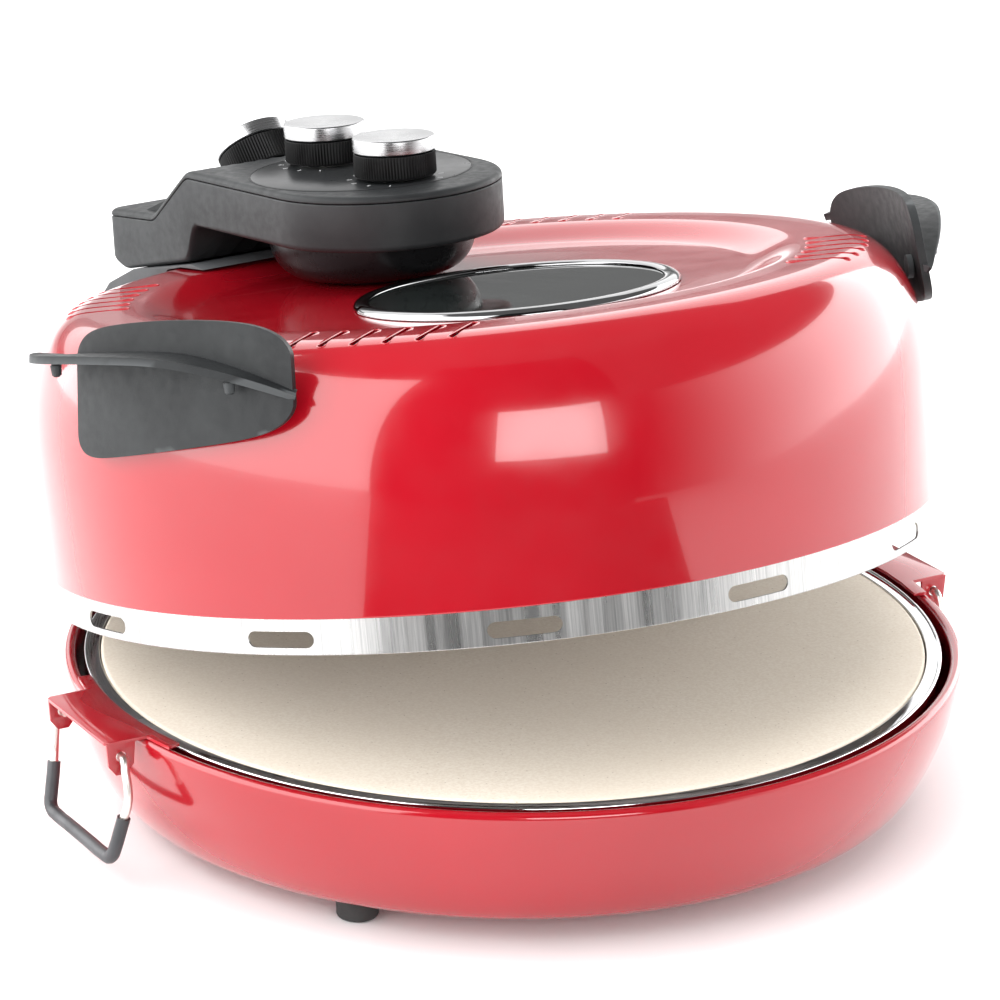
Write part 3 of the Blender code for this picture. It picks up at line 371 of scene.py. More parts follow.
class Nodes:
    """A Principled material with short calls for the nodes around it."""

    def __init__(self, name, colour, roughness, metallic=0.0, **sockets):
        self.mat = bpy.data.materials.new(name)
        self.mat.use_nodes = True
        self.tree = self.mat.node_tree
        self.shader = self.tree.nodes["Principled BSDF"]
        self.shader.inputs["Base Color"].default_value = (*colour, 1.0)
        self.shader.inputs["Roughness"].default_value = roughness
        self.shader.inputs["Metallic"].default_value = metallic
        for socket, value in sockets.items():
            self.shader.inputs[socket.replace("_", " ")].default_value = value
        self.place = self.node("ShaderNodeTexCoord").outputs["Object"]

    def node(self, kind, **values):
        made = self.tree.nodes.new(kind)
        for key, value in values.items():
            setattr(made, key, value)
        return made

    def link(self, output, target):
        self.tree.links.new(output, target)

    def scaled(self, x, y, z):
        mapping = self.node("ShaderNodeMapping")
        mapping.inputs["Scale"].default_value = (x, y, z)
        self.link(self.place, mapping.inputs["Vector"])
        return mapping.outputs["Vector"]

    def radius(self, scale):
        """Distance from the piece's own Z axis, as a one-dimensional coordinate."""
        length = self.node("ShaderNodeVectorMath", operation="LENGTH")
        self.link(self.scaled(scale, scale, 0.0), length.inputs[0])
        joined = self.node("ShaderNodeCombineXYZ")
        self.link(length.outputs["Value"], joined.inputs["X"])
        return joined.outputs["Vector"]

    def noise(self, scale, detail=3.0, roughness=0.55, vector=None):
        texture = self.node("ShaderNodeTexNoise")
        texture.inputs["Scale"].default_value = scale
        texture.inputs["Detail"].default_value = detail
        texture.inputs["Roughness"].default_value = roughness
        self.link(vector or self.place, texture.inputs["Vector"])
        return texture.outputs["Fac"]

    def speckle(self, scale, vector=None):
        texture = self.node("ShaderNodeTexVoronoi")
        texture.inputs["Scale"].default_value = scale
        self.link(vector or self.place, texture.inputs["Vector"])
        return texture.outputs["Distance"]

    def spread(self, value, low, high, out_low=0.0, out_high=1.0):
        mapped = self.node("ShaderNodeMapRange")
        settings = ((1, low), (2, high), (3, out_low), (4, out_high))
        for index, number in settings:
            mapped.inputs[index].default_value = number
        self.link(value, mapped.inputs[0])
        return mapped.outputs[0]

    def blend(self, factor, first, second):
        mix = self.node("ShaderNodeMix", data_type="RGBA")
        for socket, colour in ((6, first), (7, second)):
            if isinstance(colour, tuple):
                mix.inputs[socket].default_value = (*colour, 1.0)
            else:
                self.link(colour, mix.inputs[socket])
        self.link(factor, mix.inputs[0])
        return mix.outputs[2]

    def edges(self, low=0.52, high=0.60):
        """Where the surface is bent outwards, for painted highlights on edges."""
        geometry = self.node("ShaderNodeNewGeometry")
        return self.spread(geometry.outputs["Pointiness"], low, high)

    def colour(self, output):
        self.link(output, self.shader.inputs["Base Color"])

    def mottled(self, scale, detail, dark, light):
        """A base colour that drifts between two tones."""
        self.colour(self.blend(self.spread(self.noise(scale, detail), 0.3, 0.7), dark, light))

    def rough(self, value, low, high):
        self.link(self.spread(value, 0.3, 0.7, low, high), self.shader.inputs["Roughness"])

    def bump(self, height, strength, distance_mm):
        bump = self.node("ShaderNodeBump")
        bump.inputs["Strength"].default_value = strength
        bump.inputs["Distance"].default_value = distance_mm * MM
        earlier = self.shader.inputs["Normal"]
        if earlier.is_linked:
            self.link(earlier.links[0].from_socket, bump.inputs["Normal"])
        self.link(height, bump.inputs["Height"])
        self.link(bump.outputs["Normal"], self.shader.inputs["Normal"])


def red_enamel():
    """Glossy enamel: a deep red with a faint orange-peel surface and a painted highlight, a paler red, on
    sharp edges.
    """
    m = Nodes("red_enamel_gloss", (0.34, 0.003, 0.010), 0.16, Coat_Weight=0.7, Coat_Roughness=0.03,
              Coat_IOR=1.5, IOR=1.5)
    tone = m.blend(m.spread(m.noise(7.0), 0.35, 0.65), (0.315, 0.003, 0.009), (0.365, 0.004, 0.012))
    # the paler red on sharp edges is a painted edge highlight
    m.colour(m.blend(m.edges(0.54, 0.66), tone, (0.50, 0.03, 0.04)))
    m.rough(m.noise(60.0, 4.0), 0.12, 0.20)
    m.bump(m.noise(420.0, 2.0), 0.05, 0.03)
    m.bump(m.noise(28.0, 1.0), 0.04, 0.12)
    return m.mat


def brushed_band():
    """Stainless strip brushed across its width, so that the strokes stand upright."""
    m = Nodes("brushed_band_steel", (0.72, 0.71, 0.70), 0.30, 1.0, Anisotropic=0.35)
    strokes = m.noise(1.0, 4.0, 0.7, m.scaled(1500.0, 1500.0, 22.0))
    wide = m.noise(1.0, 2.0, 0.5, m.scaled(160.0, 160.0, 6.0))
    m.colour(m.blend(m.spread(strokes, 0.3, 0.7), (0.36, 0.36, 0.36), (0.68, 0.67, 0.66)))
    m.rough(wide, 0.22, 0.38)
    m.bump(strokes, 0.22, 0.05)
    return m.mat


def plain_steel():
    m = Nodes("drawn_steel", (0.70, 0.69, 0.67), 0.28, 1.0)
    m.mottled(90.0, 5.0, (0.56, 0.55, 0.53), (0.78, 0.77, 0.75))
    m.rough(m.noise(240.0, 3.0), 0.20, 0.38)
    m.bump(m.noise(700.0, 2.0), 0.12, 0.03)
    return m.mat


def bail_wire():
    """Nickel-plated wire, a little warm and satin."""
    m = Nodes("plated_wire", (0.80, 0.76, 0.72), 0.34, 1.0)
    grain = m.noise(1.0, 3.0, 0.6, m.scaled(900.0, 900.0, 120.0))
    m.colour(m.blend(m.spread(grain, 0.3, 0.7), (0.72, 0.67, 0.63), (0.88, 0.85, 0.81)))
    m.rough(m.noise(150.0, 3.0), 0.28, 0.42)
    m.bump(grain, 0.10, 0.03)
    return m.mat


def polished_metal(name, dark, light):
    m = Nodes(name, light, 0.07, 1.0)
    haze = m.noise(30.0, 4.0)
    m.colour(m.blend(m.spread(haze, 0.35, 0.65), dark, light))
    m.rough(m.noise(75.0, 5.0), 0.04, 0.11)
    m.bump(m.noise(22.0, 2.0), 0.05, 0.15)
    return m.mat


def spun_cap():
    """Aluminium turned on a lathe: fine rings on the top, strokes around the side."""
    m = Nodes("spun_cap_aluminium", (0.40, 0.40, 0.41), 0.24, 1.0, Anisotropic=0.45)
    rings = m.noise(1.0, 3.0, 0.7, m.radius(5200.0))
    around = m.noise(1.0, 3.0, 0.6, m.scaled(30.0, 30.0, 3600.0))
    m.colour(m.blend(m.spread(rings, 0.3, 0.7), (0.35, 0.35, 0.355), (0.46, 0.46, 0.465)))
    m.rough(around, 0.18, 0.32)
    m.bump(rings, 0.10, 0.02)
    m.bump(around, 0.06, 0.02)
    return m.mat


def cordierite_stone():
    """Fired cordierite: cream, with a fine open grain and a few darker specks."""
    m = Nodes("cordierite_stone", (0.80, 0.71, 0.60), 0.88)
    cloud = m.blend(m.spread(m.noise(14.0, 4.0), 0.3, 0.7), (0.83, 0.74, 0.625), (0.88, 0.80, 0.69))
    fine = m.blend(m.spread(m.noise(900.0, 3.0), 0.35, 0.65), (0.79, 0.695, 0.58), cloud)
    specks = m.spread(m.speckle(260.0), 0.03, 0.10, 0.0, 1.0)
    m.colour(m.blend(specks, (0.52, 0.42, 0.33), fine))
    m.rough(m.noise(300.0), 0.80, 0.95)
    m.bump(m.noise(1300.0, 4.0), 0.35, 0.10)
    m.bump(m.noise(190.0, 3.0), 0.12, 0.12)
    return m.mat


def moulding(name, dark, light, scale=1500.0):
    """Fine spark-textured plastic with painted highlights, a paler colour, on its edges."""
    m = Nodes(name, light, 0.5, IOR=1.46, Specular_IOR_Level=0.26)
    grain = m.noise(scale, 3.0, 0.6)
    tone = m.blend(m.spread(m.noise(38.0, 4.0), 0.3, 0.7), dark, light)
    # the paler colour on the edges is a painted highlight
    edge_highlight = tuple(min(value * 2.6 + 0.012, 1.0) for value in light)
    m.colour(m.blend(m.spread(m.edges(0.53, 0.62), 0.0, 1.0, 0.0, 0.7), tone, edge_highlight))
    m.rough(m.noise(260.0, 4.0), 0.40, 0.56)
    m.bump(grain, 0.30, 0.07)
    return m.mat


def knurled_plastic():
    m = Nodes("knurled_skirt", (0.004, 0.004, 0.004), 0.42, Specular_IOR_Level=0.12)
    # the paler colour on the ribs' edges is a painted highlight
    m.colour(m.blend(m.edges(0.50, 0.60), (0.003, 0.003, 0.003), (0.016, 0.016, 0.017)))
    m.rough(m.noise(500.0, 3.0), 0.34, 0.50)
    m.bump(m.noise(1800.0, 2.0), 0.15, 0.04)
    return m.mat


def dial_print():
    """Smooth black dial with a satin sheen."""
    m = Nodes("dial_satin_black", (0.018, 0.019, 0.020), 0.32, Specular_IOR_Level=0.25)
    m.mottled(60.0, 3.0, (0.016, 0.017, 0.018), (0.020, 0.021, 0.022))
    m.rough(m.noise(120.0, 3.0), 0.27, 0.33)
    m.bump(m.noise(1600.0, 2.0), 0.10, 0.03)
    return m.mat


def shaded_moulding():
    """The smoother moulding under the controls, its colour darkened as painted shade under the control head.
    """
    # the darker base colour and tones paint the shade under the control head
    m = Nodes("smooth_black_moulding_painted_shade", (0.006, 0.006, 0.007), 0.30, Specular_IOR_Level=0.14)
    m.mottled(50.0, 3.0, (0.005, 0.005, 0.005), (0.009, 0.009, 0.010))
    m.rough(m.noise(200.0, 3.0), 0.24, 0.36)
    m.bump(m.noise(1400.0, 2.0), 0.10, 0.03)
    return m.mat


def print_ink():
    m = Nodes("pale_print", (0.62, 0.63, 0.63), 0.5)
    m.colour(m.blend(m.noise(900.0, 3.0), (0.50, 0.51, 0.51), (0.72, 0.73, 0.73)))
    return m.mat


def vinyl_sleeve():
    m = Nodes("vinyl_sleeve_black", (0.035, 0.036, 0.040), 0.42)
    m.mottled(55.0, 3.0, (0.028, 0.029, 0.032), (0.050, 0.051, 0.056))
    m.rough(m.noise(190.0, 3.0), 0.34, 0.52)
    m.bump(m.noise(500.0, 3.0), 0.14, 0.06)
    return m.mat


def rubber():
    m = Nodes("matt_rubber", (0.018, 0.018, 0.018), 0.75)
    m.mottled(70.0, 4.0, (0.012, 0.012, 0.012), (0.034, 0.033, 0.032))
    m.rough(m.noise(300.0, 3.0), 0.62, 0.85)
    m.bump(m.noise(900.0, 3.0), 0.30, 0.08)
    return m.mat


def smoked_glass():
    """Dark tempered glass, mostly reflecting, with a trace of wiping marks."""
    m = Nodes("smoked_window_glass", (0.012, 0.014, 0.014), 0.03, IOR=1.62, Coat_Weight=0.5,
              Coat_Roughness=0.01)
    m.mottled(18.0, 3.0, (0.009, 0.011, 0.011), (0.020, 0.024, 0.023))
    m.rough(m.noise(1.0, 4.0, 0.6, m.scaled(60.0, 14.0, 14.0)), 0.015, 0.05)
    return m.mat


def aluminised_sheet():
    """Aluminised steel with its faint spangle, dulled by heat."""
    m = Nodes("aluminised_sheet_metal", (0.56, 0.56, 0.57), 0.42, 0.9)
    spangle = m.speckle(160.0)
    m.colour(m.blend(m.spread(spangle, 0.0, 0.7), (0.46, 0.46, 0.47), (0.66, 0.66, 0.67)))
    m.rough(m.noise(45.0, 4.0), 0.34, 0.52)
    m.bump(spangle, 0.06, 0.05)
    return m.mat


def heater_sheath():
    m = Nodes("heater_sheath_metal", (0.12, 0.11, 0.10), 0.5, 0.85)
    m.mottled(60.0, 4.0, (0.075, 0.062, 0.055), (0.20, 0.18, 0.16))
    m.rough(m.noise(200.0, 3.0), 0.42, 0.62)
    m.bump(m.noise(700.0, 2.0), 0.2, 0.05)
    return m.mat


def ceramic():
    m = Nodes("white_ceramic_body", (0.78, 0.76, 0.71), 0.55)
    m.mottled(90.0, 3.0, (0.70, 0.68, 0.62), (0.82, 0.80, 0.76))
    m.rough(m.noise(260.0, 3.0), 0.45, 0.65)
    m.bump(m.noise(800.0, 3.0), 0.2, 0.05)
    return m.mat


def make_materials():
    return {
        "enamel": red_enamel(),
        "band": brushed_band(),
        "steel": plain_steel(),
        "wire": bail_wire(),
        "trim": polished_metal("polished_trim_steel", (0.66, 0.66, 0.67), (0.78, 0.78, 0.79)),
        "bezel": polished_metal("polished_bezel_steel", (0.34, 0.34, 0.345), (0.44, 0.44, 0.445)),
        "cap": spun_cap(),
        "stone": cordierite_stone(),
        "plastic": moulding("black_moulding_grain", (0.014, 0.015, 0.016), (0.025, 0.027, 0.028)),
        "under": shaded_moulding(),
        "grey": moulding("grey_moulding_grain", (0.040, 0.042, 0.044), (0.062, 0.065, 0.068)),
        "knurl": knurled_plastic(),
        "dial": dial_print(),
        "ink": print_ink(),
        "vinyl": vinyl_sleeve(),
        "rubber": rubber(),
        "glass": smoked_glass(),
        "tin": aluminised_sheet(),
        "heater": heater_sheath(),
        "ceramic": ceramic(),
    }


# ---------------------------------------------------------------- base pieces

def bowl_side(inset, steps):
    """The bowl's outer curve from the rim down to its floor, moved inwards by an inset."""
    height = RIM_TOP - RIM_ROLL - BOWL_FLOOR
    reach = (RIM_RADIUS - BOWL_FLOOR_RADIUS, -height)
    centre = (BOWL_FLOOR_RADIUS - inset, RIM_TOP - RIM_ROLL)
    points = squircle(centre, reach, BOWL_CURVE, 0.0, 90.0, steps)
    return [(r, z + (inset if index == steps else 0.0)) for index, (r, z) in enumerate(points)]


def make_bowl(mats):
    roll = (RIM_RADIUS - RIM_ROLL, RIM_TOP - RIM_ROLL)
    lip = RIM_TOP - RIM_ROLL - 5.0
    outline = [(roll[0] - RIM_ROLL, lip)] + arc(roll, RIM_ROLL, 180.0, 0.0, 14) + bowl_side(0.0, 30)[1:]
    outline += [(60.0, BOWL_FLOOR), (60.0, BOWL_FLOOR + SHEET)] + list(reversed(bowl_side(SHEET, 20)))[:-1]
    outline += arc(roll, RIM_ROLL - SHEET, 0.0, 180.0, 8) + [(roll[0] - RIM_ROLL + SHEET, lip)]
    add_piece("bowl_skin", lathe_mesh("bowl_skin", outline), BASE, "base", mats["enamel"],
              ["base_bowl"])


def make_feet(mats):
    top = BOWL_FLOOR - 0.3
    outline = [(0.0, top), (7.6, top), (8.0, top - 0.4)] + [(7.6, 3.4)] + arc((6.0, 1.6), 1.6, 0.0, -90.0, 6)
    outline += [(3.0, 0.0), (2.4, 0.8), (0.0, 0.8)]
    for number in range(1, 5):
        low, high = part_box(f"foot_{number}")
        middle = (low + high) / 2.0
        place = Matrix.Translation((middle.x, middle.y, 0.0))
        add_piece(f"rubber_foot_{number}", lathe_mesh("foot", outline, closed=False, steps=48), place, "base",
                  mats["rubber"], [f"foot_{number}"])


def make_trim(mats):
    """The polished ring round the stone: a flat flange, a rolled outer lip and one joint in it."""
    lip = (TRIM_OUTER - 0.75, TRIM_TOP - 0.35)
    outline = [(TRIM_INNER, TRIM_TOP - 2.8)] + arc((TRIM_INNER + 0.5, TRIM_TOP - 0.5), 0.5, 180.0, 90.0, 5)
    outline += [(TRIM_OUTER - 2.2, TRIM_TOP - 0.05), (TRIM_OUTER - 1.6, TRIM_TOP - 0.15)]
    outline += arc(lip, 0.75, 110.0, 0.0, 8)
    outline += [(TRIM_OUTER, TRIM_TOP - 8.0), (TRIM_OUTER - 0.7, TRIM_TOP - 8.0)]
    outline += [(TRIM_OUTER - 0.7, TRIM_TOP - 1.1), (TRIM_INNER + 0.7, TRIM_TOP - 0.9)]
    outline += [(TRIM_INNER + 0.7, TRIM_TOP - 2.8)]
    ring = add_piece("trim_ring_polished", lathe_mesh("trim", outline), BASE, "base", mats["trim"],
                     ["trim_ring"])
    bm = bmesh.new()
    bmesh.ops.create_cube(bm, size=1.0)
    bmesh.ops.scale(bm, vec=(0.35 * MM, 14.0 * MM, 0.5 * MM), verts=bm.verts)
    x, y = polar(TRIM_SEAM_DEG, (TRIM_OUTER + TRIM_INNER) / 2.0)
    turn = Matrix.Rotation(math.radians(TRIM_SEAM_DEG + 12.0), 4, "Z")
    cut(ring, hidden_cutter("trim_seam", finished(bm, "seam"), BASE @ shift(x, y, TRIM_TOP) @ turn, "base"))
    split_edges(ring)


def make_stone(mats):
    bottom = STONE_TOP - STONE_THICKNESS
    outline = [(0.0, STONE_TOP), (60.0, STONE_TOP), (STONE_RADIUS - 1.4, STONE_TOP)]
    outline += arc((STONE_RADIUS - 1.4, STONE_TOP - 1.4), 1.4, 90.0, 0.0, 6)[1:]
    outline += arc((STONE_RADIUS - 1.4, bottom + 1.4), 1.4, 0.0, -90.0, 6) + [(0.0, bottom)]
    add_piece("stone_disc", lathe_mesh("stone", outline, closed=False), BASE, "stone", mats["stone"],
              ["pizza_stone"])


def bracket_frame(side):
    heading = 0.0 if side == "right" else 180.0
    return BASE @ Matrix.Rotation(math.radians(heading + BRACKET_TURN_DEG), 4, "Z")


def bail_leg():
    """One leg of the bail from its hooked end down to the start of the cross bar, about the bail's axis."""
    s = BRACKET_HALF_WIDTH + 2.6
    return [(0, s - 6.2, 0), (0, s - 3.0, 0), (0.05, s - 0.5, -0.6), (0.25, s + 1.4, -4.6),
            (0.2, s + 3.1, -10.5), (0.5, s + 3.3, -16.0), (1.5, s + 1.9, -21.5), (2.6, s + 0.8, -27.0),
            (3.9, s - 0.3, -33.0), (4.7, s - 1.4, -36.4), (5.0, s - 3.8, -38.2), (5.1, s - 7.0, -38.5),
            (5.1, 8.0, -38.5)]


def make_bail(side, mats):
    place = bracket_frame(side) @ shift(BAIL_X, 0.0, BAIL_Z)
    leg = bail_leg()
    path = leg + [(x, -y, z) for x, y, z in reversed(leg)]
    wire = tube_mesh("wire", path, WIRE_RADIUS)
    add_piece(f"bail_wire_{side}", wire, place, f"bail_{side}_body", mats["wire"],
              [f"bail_{side}"], 60.0)
    sleeve = leg[6:] + [(x, -y, z) for x, y, z in reversed(leg[6:])]
    add_piece(f"bail_sleeve_{side}", tube_mesh("sleeve", sleeve, GRIP_RADIUS), place, f"bail_{side}_body",
              mats["vinyl"], [f"bail_grip_{side}"], 60.0)


# ---------------------------------------------------------------- lid pieces

def lid_shoulder(inset, steps):
    reach = (LID_RADIUS - LID_CREST_RADIUS, LID_CREST - LID_SIDE_TOP - inset)
    centre = (LID_CREST_RADIUS - inset, LID_SIDE_TOP)
    return squircle(centre, reach, LID_CURVE, 90.0, 0.0, steps)


def lid_top(inset):
    """The dished top from the axis to the crest, an S-bend between two flats."""
    dish = LID_DISH - inset
    points = [(0.0, dish), (40.0, dish), (80.0, dish)]
    for step in range(13):
        share = step / 12.0
        rise = share * share * (3.0 - 2.0 * share)
        points.append((LID_DISH_RADIUS - 2.0 + 21.0 * share, dish + (LID_CREST - LID_DISH) * rise))
    return points


def make_shell(mats):
    outline = lid_top(0.0) + lid_shoulder(0.0, 36)
    outline += [(LID_RADIUS, BAND_SHOWN + 1.0), (LID_RADIUS - 0.25, BAND_SHOWN + 0.25)]
    outline += [(LID_RADIUS - 0.9, BAND_SHOWN), (LID_RADIUS - SHEET, BAND_SHOWN + 0.3)]
    outline += list(reversed(lid_top(SHEET) + lid_shoulder(SHEET, 16)))
    shell = add_piece("lid_skin", lathe_mesh("lid_skin", outline, closed=False, steps=192), LID, "lid",
                      mats["enamel"], ["lid_shell"])
    drill(shell, "window_cut", WINDOW, GLASS_RADIUS + 0.5, 80.0, 120.0, 96)
    cut(shell, hidden_cutter("louvre_cut", louvre_cut_mesh(), LID, "lid"))
    split_edges(shell, 40.0)


def louvre_frames():
    """Each louvre's own frame: its centre on the lid's crest, with Y along the slot."""
    middle = (LOUVRES_PER_GROUP - 1) / 2.0
    for group, slant in LOUVRE_GROUPS_DEG:
        for index in range(LOUVRES_PER_GROUP):
            azimuth = group + (index - middle) * LOUVRE_PITCH_DEG
            x, y = polar(azimuth, LOUVRE_RADIUS)
            yield shift(x, y, LID_CREST) @ Matrix.Rotation(math.radians(group + slant), 4, "Z")


def slot_outline(half_length, half_width, steps=6):
    straight = half_length - half_width
    return (arc((0.0, straight), half_width, 0.0, 180.0, steps)
            + arc((0.0, -straight), half_width, 180.0, 360.0, steps))


def louvre_cut_mesh():
    bm = bmesh.new()
    outline = slot_outline(LOUVRE_HALF_LENGTH, LOUVRE_HALF_WIDTH)
    for place in louvre_frames():
        add_prism(bm, place, outline, -14.0, 6.0)
    return finished(bm, "louvre_cut")


def lid_height(radius):
    """Height of the shell's outer surface at a radius near the crest."""
    if radius <= LID_CREST_RADIUS:
        return LID_CREST if radius > LID_DISH_RADIUS + 19.0 else LID_DISH
    share = (radius - LID_CREST_RADIUS) / (LID_RADIUS - LID_CREST_RADIUS)
    return LID_SIDE_TOP + (LID_CREST - LID_SIDE_TOP) * (1.0 - share ** LID_CURVE) ** (1.0 / LID_CURVE)


def make_louvre_lips(mats):
    """A fine rolled edge round each slot, which follows the crest of the lid."""
    lip = 0.34
    sides = 6
    straight = LOUVRE_HALF_LENGTH - LOUVRE_HALF_WIDTH
    outline = slot_outline(LOUVRE_HALF_LENGTH + 0.1, LOUVRE_HALF_WIDTH + 0.1, 8)
    bm = bmesh.new()
    for place in louvre_frames():
        rings = []
        for x, y in outline:
            point = place @ Vector((x * MM, y * MM, 0.0))
            point.z = lid_height(math.hypot(point.x, point.y) / MM) * MM
            past_end = y - math.copysign(min(abs(y), straight), y)
            outward = (place.to_3x3() @ Vector((x, past_end, 0.0))).normalized()
            ring = []
            for index in range(sides):
                angle = 2.0 * math.pi * index / sides
                offset = outward * math.cos(angle) + Vector((0, 0, 1)) * math.sin(angle)
                ring.append(bm.verts.new(point + offset * lip * MM))
            rings.append(ring)
        for first, second in zip(rings, rings[1:] + rings[:1]):
            bridge(bm, first, second)
    add_piece("louvre_lips", finished(bm, "louvre_lips"), LID, "lid", mats["enamel"],
              smooth_deg=80.0)


def make_band(mats):
    r = BAND_RADIUS
    outline = [(LINER_RADIUS, BAND_HEIGHT), (r - 0.8, BAND_HEIGHT), (r, BAND_HEIGHT - 0.8), (r, 0.6)]
    outline += arc((r - 0.4, 0.4), 0.4, 0.0, -180.0, 6) + [(r - 0.8, BAND_HEIGHT - 0.9)]
    outline += [(LINER_RADIUS, BAND_HEIGHT - 0.8)]
    band = add_piece("band_brushed", lathe_mesh("band", outline, steps=192), LID, "lid", mats["band"],
                     ["steel_band"])
    bm = bmesh.new()
    upright = Matrix(((0, 1, 0, 0), (0, 0, 1, 0), (1, 0, 0, 0), (0, 0, 0, 1)))
    slot = slot_outline(VENT_HALF_LENGTH, VENT_HALF_HEIGHT, 12)
    for index in range(VENT_COUNT):
        turn = Matrix.Rotation(2.0 * math.pi * index / VENT_COUNT, 4, "Z")
        add_prism(bm, turn @ shift(0.0, -r, VENT_Z) @ upright, slot, 6.0, -6.0)
    cut(band, hidden_cutter("vent_cut", finished(bm, "vent_cut"), LID, "lid"))
    split_edges(band)


def make_liner(mats):
    """The reflector dome seen from below when the lid is open."""
    foot = BAND_HEIGHT + 0.3
    dome = arc((LINER_RADIUS - LINER_CORNER, LINER_TOP - LINER_CORNER), LINER_CORNER, 0.0, 90.0, 14)
    outside = [(0.0, LINER_TOP)] + list(reversed(dome)) + [(LINER_RADIUS, foot + 0.8), (166.0, foot + 0.8)]
    outside += [(166.0, foot), (LINER_RADIUS - 0.8, foot)]
    inside = [(r - 0.8, z - 0.4) for r, z in dome] + [(0.0, LINER_TOP - 0.8)]
    liner = add_piece("reflector_dome", lathe_mesh("liner", outside + inside, closed=False), LID, "lid",
                      mats["tin"], ["lid_liner"])
    drill(liner, "liner_window_cut", WINDOW, LINER_HOLE_RADIUS, 70.0, 100.0, 96)
    split_edges(liner)


def make_window(mats):
    """The polished bezel, the outer pane flush inside it and the inner pane over the liner's hole."""
    seat = LID_DISH + 0.3
    crown = seat + 2.6
    middle = (BEZEL_INNER + BEZEL_OUTER) / 2.0 - 0.4
    outline = squircle((middle, seat + 1.5), (BEZEL_INNER - middle, crown - seat - 1.5), 2.0, 0.0, 90.0, 8)
    outline += squircle((middle, seat), (BEZEL_OUTER - middle, crown - seat), 2.0, 84.0, 0.0, 14)
    outline += [(GLASS_RADIUS + 0.8, seat), (GLASS_RADIUS + 0.8, seat + 1.5), (BEZEL_INNER, seat + 1.5)]
    add_piece("bezel_polished", lathe_mesh("bezel", outline, steps=128), WINDOW, "lid", mats["bezel"],
              ["window_bezel"])
    top = seat + 1.2
    r = GLASS_RADIUS
    pane = [(0.0, top), (30.0, top), (r - 0.5, top), (r, top - 0.5), (r, top - 4.0), (0.0, top - 4.0)]
    add_piece("window_pane", lathe_mesh("pane", pane, closed=False, steps=128), WINDOW, "lid",
              mats["glass"], ["window_glass"])
    low = LINER_TOP + 0.3
    r = INNER_GLASS_RADIUS
    inner = [(0.0, low + 3.0), (r - 0.4, low + 3.0), (r, low + 2.6), (r, low), (0.0, low)]
    add_piece("inner_pane", lathe_mesh("inner_pane", inner, closed=False, steps=96), WINDOW, "lid",
              mats["glass"], ["inner_glass"])


# ---------------------------------------------------------------- lid handles

def handle_point(side, azimuth_deg, reach, height):
    radius = HANDLE_RADIUS - HANDLE_LEAN * (height - HANDLE_LEAN_FROM) + reach
    x, y = polar(side * azimuth_deg, radius)
    return x * MM, y * MM, height * MM


def plate_heights(along):
    """Lower and upper edge of the back plate; along runs from -1 at the front to 1 at the rear."""
    lower = PLATE_LOWER[0] + PLATE_LOWER[1] * along
    upper = PLATE_UPPER[0] + PLATE_UPPER[1] * along + PLATE_UPPER[2] * along * along
    middle = 0.5 * (lower + upper)
    straight, power = PLATE_ENDS["rear" if along > 0.0 else "front"]
    round_off = straight + (1.0 - straight) * math.sqrt(max(1.0 - abs(along) ** power, 0.0))
    return middle - (middle - lower) * round_off, middle + (upper - middle) * round_off


def leaf_root_height(share):
    """Where the leaf meets its plate: it climbs to the middle of the handle and falls a little after it."""
    climb = math.sin(math.radians(90.0) * min(share / 0.5, 1.0))
    fall = max(share - 0.5, 0.0) / 0.5
    return LEAF_ROOT + LEAF_ROOT_RISE * climb - LEAF_ROOT_FALL * fall * fall


def leaf_reach(share):
    """How far the leaf stands out: wide over most of its length, with a rounded tip at the rear."""
    narrow = 1.2
    tip = math.sqrt(max(1.0 - max(share - 0.80, 0.0) ** 2 / 0.20 ** 2, 0.0))
    widening = math.sin(math.radians(90.0) * share) ** 0.92
    return narrow + (LEAF_REACH - narrow) * widening * (0.40 + 0.60 * tip)


def thicken(obj, thickness, offset, edge):
    wall = obj.modifiers.new("wall", "SOLIDIFY")
    wall.thickness = thickness * MM
    wall.offset = offset
    soften(obj, edge, 3, 60.0)


def make_handle(name, side, mats):
    front = HANDLE_AZIMUTH_DEG - HANDLE_HALF_ARC_DEG
    arc_deg = 2.0 * HANDLE_HALF_ARC_DEG

    def plate(column, row):
        along = math.sin(math.radians(180.0) * (column - 0.5))
        low, high = plate_heights(along)
        azimuth = HANDLE_AZIMUTH_DEG + HANDLE_HALF_ARC_DEG * along
        return handle_point(side, azimuth, 0.0, low + (high - low) * row)

    def leaf(column, row):
        share = math.sin(math.radians(90.0) * column)
        azimuth = front + (arc_deg + 1.6) * share
        lift = 4.0 * row * share - 1.0 * row * row * (1.0 - share)
        return handle_point(side, azimuth, 1.0 + leaf_reach(share) * row, leaf_root_height(share) + lift)

    back = add_piece(f"handle_plate_{name}", grid_mesh("plate", 56, 18, plate), LID, "lid", mats["plastic"],
                     [f"handle_{name}"], 60.0)
    thicken(back, 3.0, side, 0.7)
    shelf = add_piece(f"handle_leaf_{name}", grid_mesh("leaf", 56, 20, leaf), LID, "lid", mats["plastic"],
                      smooth_deg=60.0)
    thicken(shelf, 2.8, -side, 0.8)
    pegs = bmesh.new()
    for column, row in ((0.84, 0.50), (0.13, 0.70)):
        x, y, z = leaf(column, row)
        place = Matrix.Translation((x, y, z - 3.0 * MM))
        made = bmesh.ops.create_cone(pegs, cap_ends=True, segments=24, radius1=1.7 * MM, radius2=2.1 * MM,
                                     depth=4.6 * MM, matrix=place)
        own = set(made["verts"])
        rims = [edge for edge in pegs.edges
                if own.issuperset(edge.verts) and abs(edge.verts[0].co.z - edge.verts[1].co.z) < 1e-6]
        bmesh.ops.bevel(pegs, geom=rims, offset=0.5 * MM, segments=2, affect="EDGES")
    add_piece(f"handle_pegs_{name}", finished(pegs, "pegs"), LID, "lid", mats["plastic"])


# ---------------------------------------------------------------- controls

